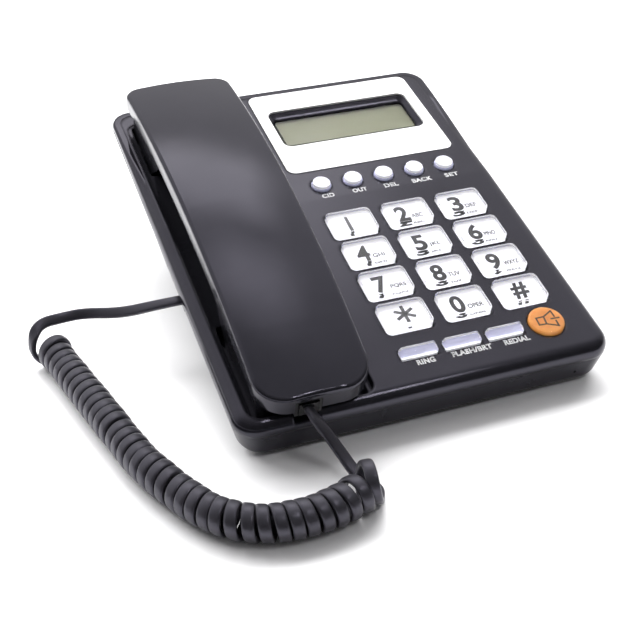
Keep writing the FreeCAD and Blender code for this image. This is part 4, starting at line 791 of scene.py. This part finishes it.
def digit_print(digit):
    """Large sign of a dial key, where it stands on the key."""
    if digit == "*":
        return shifted(strokes(STAR_ARMS, 0.72), 0.6, 0.9)
    if digit == "#":
        return shifted(stout(lettering(digit, 8.6, bolder=0.02, width=6.8), 0.14), 0.2, 0.3)
    if digit == "I":
        return shifted(lettering(digit, DIGIT_HEIGHT, width=1.5), -1.3, 0.1)
    letters = lettering(digit, DIGIT_HEIGHT, bolder=0.02, width=5.3)
    return shifted(stout(letters, 0.12), -2.4, 0.05)


def small_print(text):
    """Small letters beside a dial key's digit."""
    width = 1.55 * len(text) + 0.3
    return shifted(stout(lettering(text, 2.2, width=width), 0.05), 1.2 + width / 2, -2.1)


def make_dial_keys():
    foot = outline(KEY_WIDE - 0.1, KEY_DEEP - 0.1, KEY_CORNER)
    crown = outline(KEY_WIDE - 1.3, KEY_DEEP - 1.3, KEY_CORNER - 0.5)
    cap = [(foot, LABEL_RISE - 0.5), (foot, KEY_RISE - 0.5), (crown, KEY_RISE)]
    flange = outline(KEY_WIDE + 2.2, KEY_DEEP + 2.2, KEY_CORNER)
    body = outline(KEY_WIDE - 0.3, KEY_DEEP - 0.3, KEY_CORNER)
    core = on_flange(flange, body, LABEL_RISE)
    for row, keys in enumerate(DIAL):
        for column, (node, digit, small) in enumerate(keys):
            x = KEY_LEFT + PITCH_X * column
            y = KEY_FRONT + KEY_SET_BACK + PITCH_Y * row
            place = SLAB @ Matrix.Translation((x, y, FACE))
            prints = [digit_print(digit)]
            if small:
                prints.append(small_print(small))
            make_cap(node, place, cap, CAP)
            make_core(node, place, core, prints + DIAL_STRIPS, LABEL)


make_dial_keys()


def make_bar_keys():
    foot = outline(15.2, 4.3, 0.9)
    crown = [(x, y + 0.3) for x, y in outline(13.8, 2.9, 0.4)]
    core = on_flange(outline(17.4, 6.6, 1), outline(14.9, 4.1, 0.9), -0.4)
    for i, node in enumerate(("key_ring", "key_flash", "key_redial")):
        place = SLAB @ Matrix.Translation((-0.2 + 18.1 * i, 17.9, FACE))
        make_cap(node, place, [(foot, -1.5), (foot, 0.7), (crown, 2.3)], CAP)
        make_core(node, place, core, [strip(-7.3, 7.3, -0.75, 1.9)], LABEL)


make_bar_keys()


def rings(profile, steps=48):
    """Levels of a round body from its radii and heights."""
    return [(ring_outline(radius, steps), height) for radius, height in profile]


ROUND_CAP = [(4.3, -1.5), (4.3, 0.55), (4.1, 0.8), (3.75, 0.85), (3.75, 2.0), (3.45, 2.3)]
ROUND_DISC = 3.45


def make_round_keys():
    core = on_flange(ring_outline(5.4), ring_outline(4.15), 0.3)
    disc = np.array([(x, y, 0) for x, y in ring_outline(ROUND_DISC)])
    prints = [(disc, [tuple(range(len(disc)))])]
    for i, node in enumerate(("key_cid", "key_out", "key_delete", "key_back", "key_set")):
        place = DISPLAY @ Matrix.Translation((-1.5 + 14.45 * i, 8.5, 0))
        make_cap(node, place, rings(ROUND_CAP), CAP)
        make_core(node, place, core, prints, PALE_VIOLET, LABEL, 1.5)


make_round_keys()


ORANGE_STEPS = 64
ORANGE_LEVELS = [(7.15, -1.6), (7.15, 0.8), (6.95, 1.2), (6.3, 1.6)]
# Line drawing of a loudspeaker.
LOUDSPEAKER = [
    [(-3.9, -1.6), (-3.6, 2), (-0.3, 2), (3.8, 4.1), (3.9, 1.1)],
    [(3.6, -1.2), (3.4, -3.9), (-0.9, -1.8), (-3.9, -1.6)],
    [(-0.9, -1.8), (-0.3, 2)],
    [(2.2, 0.2), (5.3, 0)],
]


def make_hands_free_key():
    place = SLAB @ Matrix.Translation((54.2, 18.1, FACE))
    flange, body, crown = (ring_outline(radius, ORANGE_STEPS) for radius in (8.2, 6.95, 6.3))
    core = on_flange(flange, body, 0.2) + [(crown, 0.7)]
    make_cap("key_hands_free", place, rings(ORANGE_LEVELS, ORANGE_STEPS), ORANGE_CAP)
    make_core("key_hands_free", place, core, [strokes(LOUDSPEAKER, 0.36)], ORANGE)


make_hands_free_key()


# ---------------------------------------------------------------- room

FLOOR_HALF = 6000


def make_floor():
    corners = [(x * FLOOR_HALF, y * FLOOR_HALF, 0) for x, y in ((-1, -1), (1, -1), (1, 1), (-1, 1))]
    floor = mesh_object("floor", corners, [(0, 1, 2, 3)])
    paper = plastic(
        "floor", (0.88, 0.88, 0.885), (0.9, 0.9, 0.905), (0.4, 0.5), 0.002, 0.000002,
        specular=0.3,
    )
    give(floor, paper)


# Brightness of the room over the sine of the elevation, behind the object and before it.
BEHIND = [
    (0, 0.5),
    (0.3, 0.8),
    (0.62, 0.85),
    (0.72, 0.92),
    (0.8, 0.8),
    (0.88, 0.92),
    (0.94, 0.95),
    (1, 0.5),
]
BEFORE = [(0, 0.08), (0.5, 0.09), (0.72, 0.2), (0.88, 0.26), (1, 0.34)]
# Where the one runs into the other, as the horizontal share of the direction.
BEFORE_TO_BEHIND = (-0.15, 0.35)
# Bright patches: azimuth from +Y to +X and elevation in degrees, half sizes, soft rim, brightness.
WINDOWS = [
    (17, 51, 0.19, 0.115, 0.05, 1.8),
    (33, 70, 0.12, 0.10, 0.06, 1.1),
    (140, 63, 0.12, 0.03, 0.02, 24),
]
# Waviness of their outlines.
WAVE_SCALE, WAVE_SIZE = 2.2, 0.12


def vector_math(tree, operation, first, second):
    node = tree.nodes.new("ShaderNodeVectorMath")
    node.operation = operation
    tree.links.new(first, node.inputs[0])
    node.inputs[1].default_value = second
    return node


def along(tree, direction, axis):
    """Length of a direction along an axis."""
    return vector_math(tree, "DOT_PRODUCT", direction, axis).outputs["Value"]


def number_math(tree, operation, first, second):
    node = tree.nodes.new("ShaderNodeMath")
    node.operation = operation
    for socket, value in zip(node.inputs, (first, second)):
        if isinstance(value, (int, float)):
            socket.default_value = value
        else:
            tree.links.new(value, socket)
    return node.outputs["Value"]


def window(tree, direction, azimuth, elevation, half_wide, half_high, soft):
    """1 inside a soft-edged patch of the surroundings and 0 elsewhere."""
    around, above = math.radians(azimuth), math.radians(elevation)
    sine, cosine = math.sin(around), math.cos(around)
    across = (cosine, -sine, 0)
    rise = (-sine * math.sin(above), -cosine * math.sin(above), math.cos(above))
    toward = (sine * math.cos(above), cosine * math.cos(above), math.sin(above))
    inside = ranged(tree, along(tree, direction, toward), 0, 0.2, 0, 1)
    for axis, half in ((across, half_wide), (rise, half_high)):
        away = number_math(tree, "ABSOLUTE", along(tree, direction, axis), 0)
        near = ranged(tree, away, half - soft, half + soft, 1, 0)
        inside = number_math(tree, "MULTIPLY", inside, near)
    return inside


def make_world():
    """Soft room: bright patches behind and over the object, dim on the camera's side."""
    world = bpy.data.worlds.new("studio")
    SCENE.world = world
    world.use_nodes = True
    tree = world.node_tree
    background = tree.nodes["Background"]
    coordinates = tree.nodes.new("ShaderNodeTexCoord")
    parts = tree.nodes.new("ShaderNodeSeparateXYZ")
    tree.links.new(coordinates.outputs["Generated"], parts.inputs["Vector"])
    swirl = tree.nodes.new("ShaderNodeTexNoise")
    swirl.inputs["Scale"].default_value = WAVE_SCALE
    swirl.inputs["Detail"].default_value = 2
    swirl.inputs["Distortion"].default_value = 1.2
    tree.links.new(coordinates.outputs["Generated"], swirl.inputs["Vector"])
    wavy = vector_math(tree, "MULTIPLY_ADD", swirl.outputs["Color"], (WAVE_SIZE,) * 3)
    tree.links.new(coordinates.outputs["Generated"], wavy.inputs[2])
    wavy = vector_math(tree, "SUBTRACT", wavy.outputs["Vector"], (WAVE_SIZE / 2,) * 3)
    behind = ramp(tree, parts.outputs["Z"], [(z, (v, v, v)) for z, v in BEHIND])
    before = ramp(tree, parts.outputs["Z"], [(z, (v, v, v)) for z, v in BEFORE])
    side = ranged(tree, parts.outputs["Y"], *BEFORE_TO_BEHIND, 0, 1)
    total = mixed(tree, side, before, behind)
    for *shape, level in WINDOWS:
        patch = window(tree, wavy.outputs["Vector"], *shape)
        bright = number_math(tree, "MULTIPLY", patch, level)
        total = number_math(tree, "ADD", total, bright)
    background.inputs["Color"].default_value = (1, 0.985, 1, 1)
    tree.links.new(total, background.inputs["Strength"])


def make_light(name, place, size, power):
    """Soft lamp over the object, turned to its middle and not seen in reflections."""
    data = bpy.data.lights.new(name, "AREA")
    data.shape = "RECTANGLE"
    data.size, data.size_y = size
    data.energy = power
    lamp = bpy.data.objects.new(name, data)
    lamp.location = place
    lamp.visible_glossy = False
    lamp.rotation_euler = (-Vector(place)).to_track_quat("-Z", "Y").to_euler()
    SCENE.collection.objects.link(lamp)


make_floor()
make_world()
make_light("overhead", (0.08, 1.15, 1.25), (3.8, 1.0), 118)
make_light("front", (0.5, -0.9, 1.4), (1.0, 0.8), 0.5)
SCENE.view_settings.view_transform = "Standard"
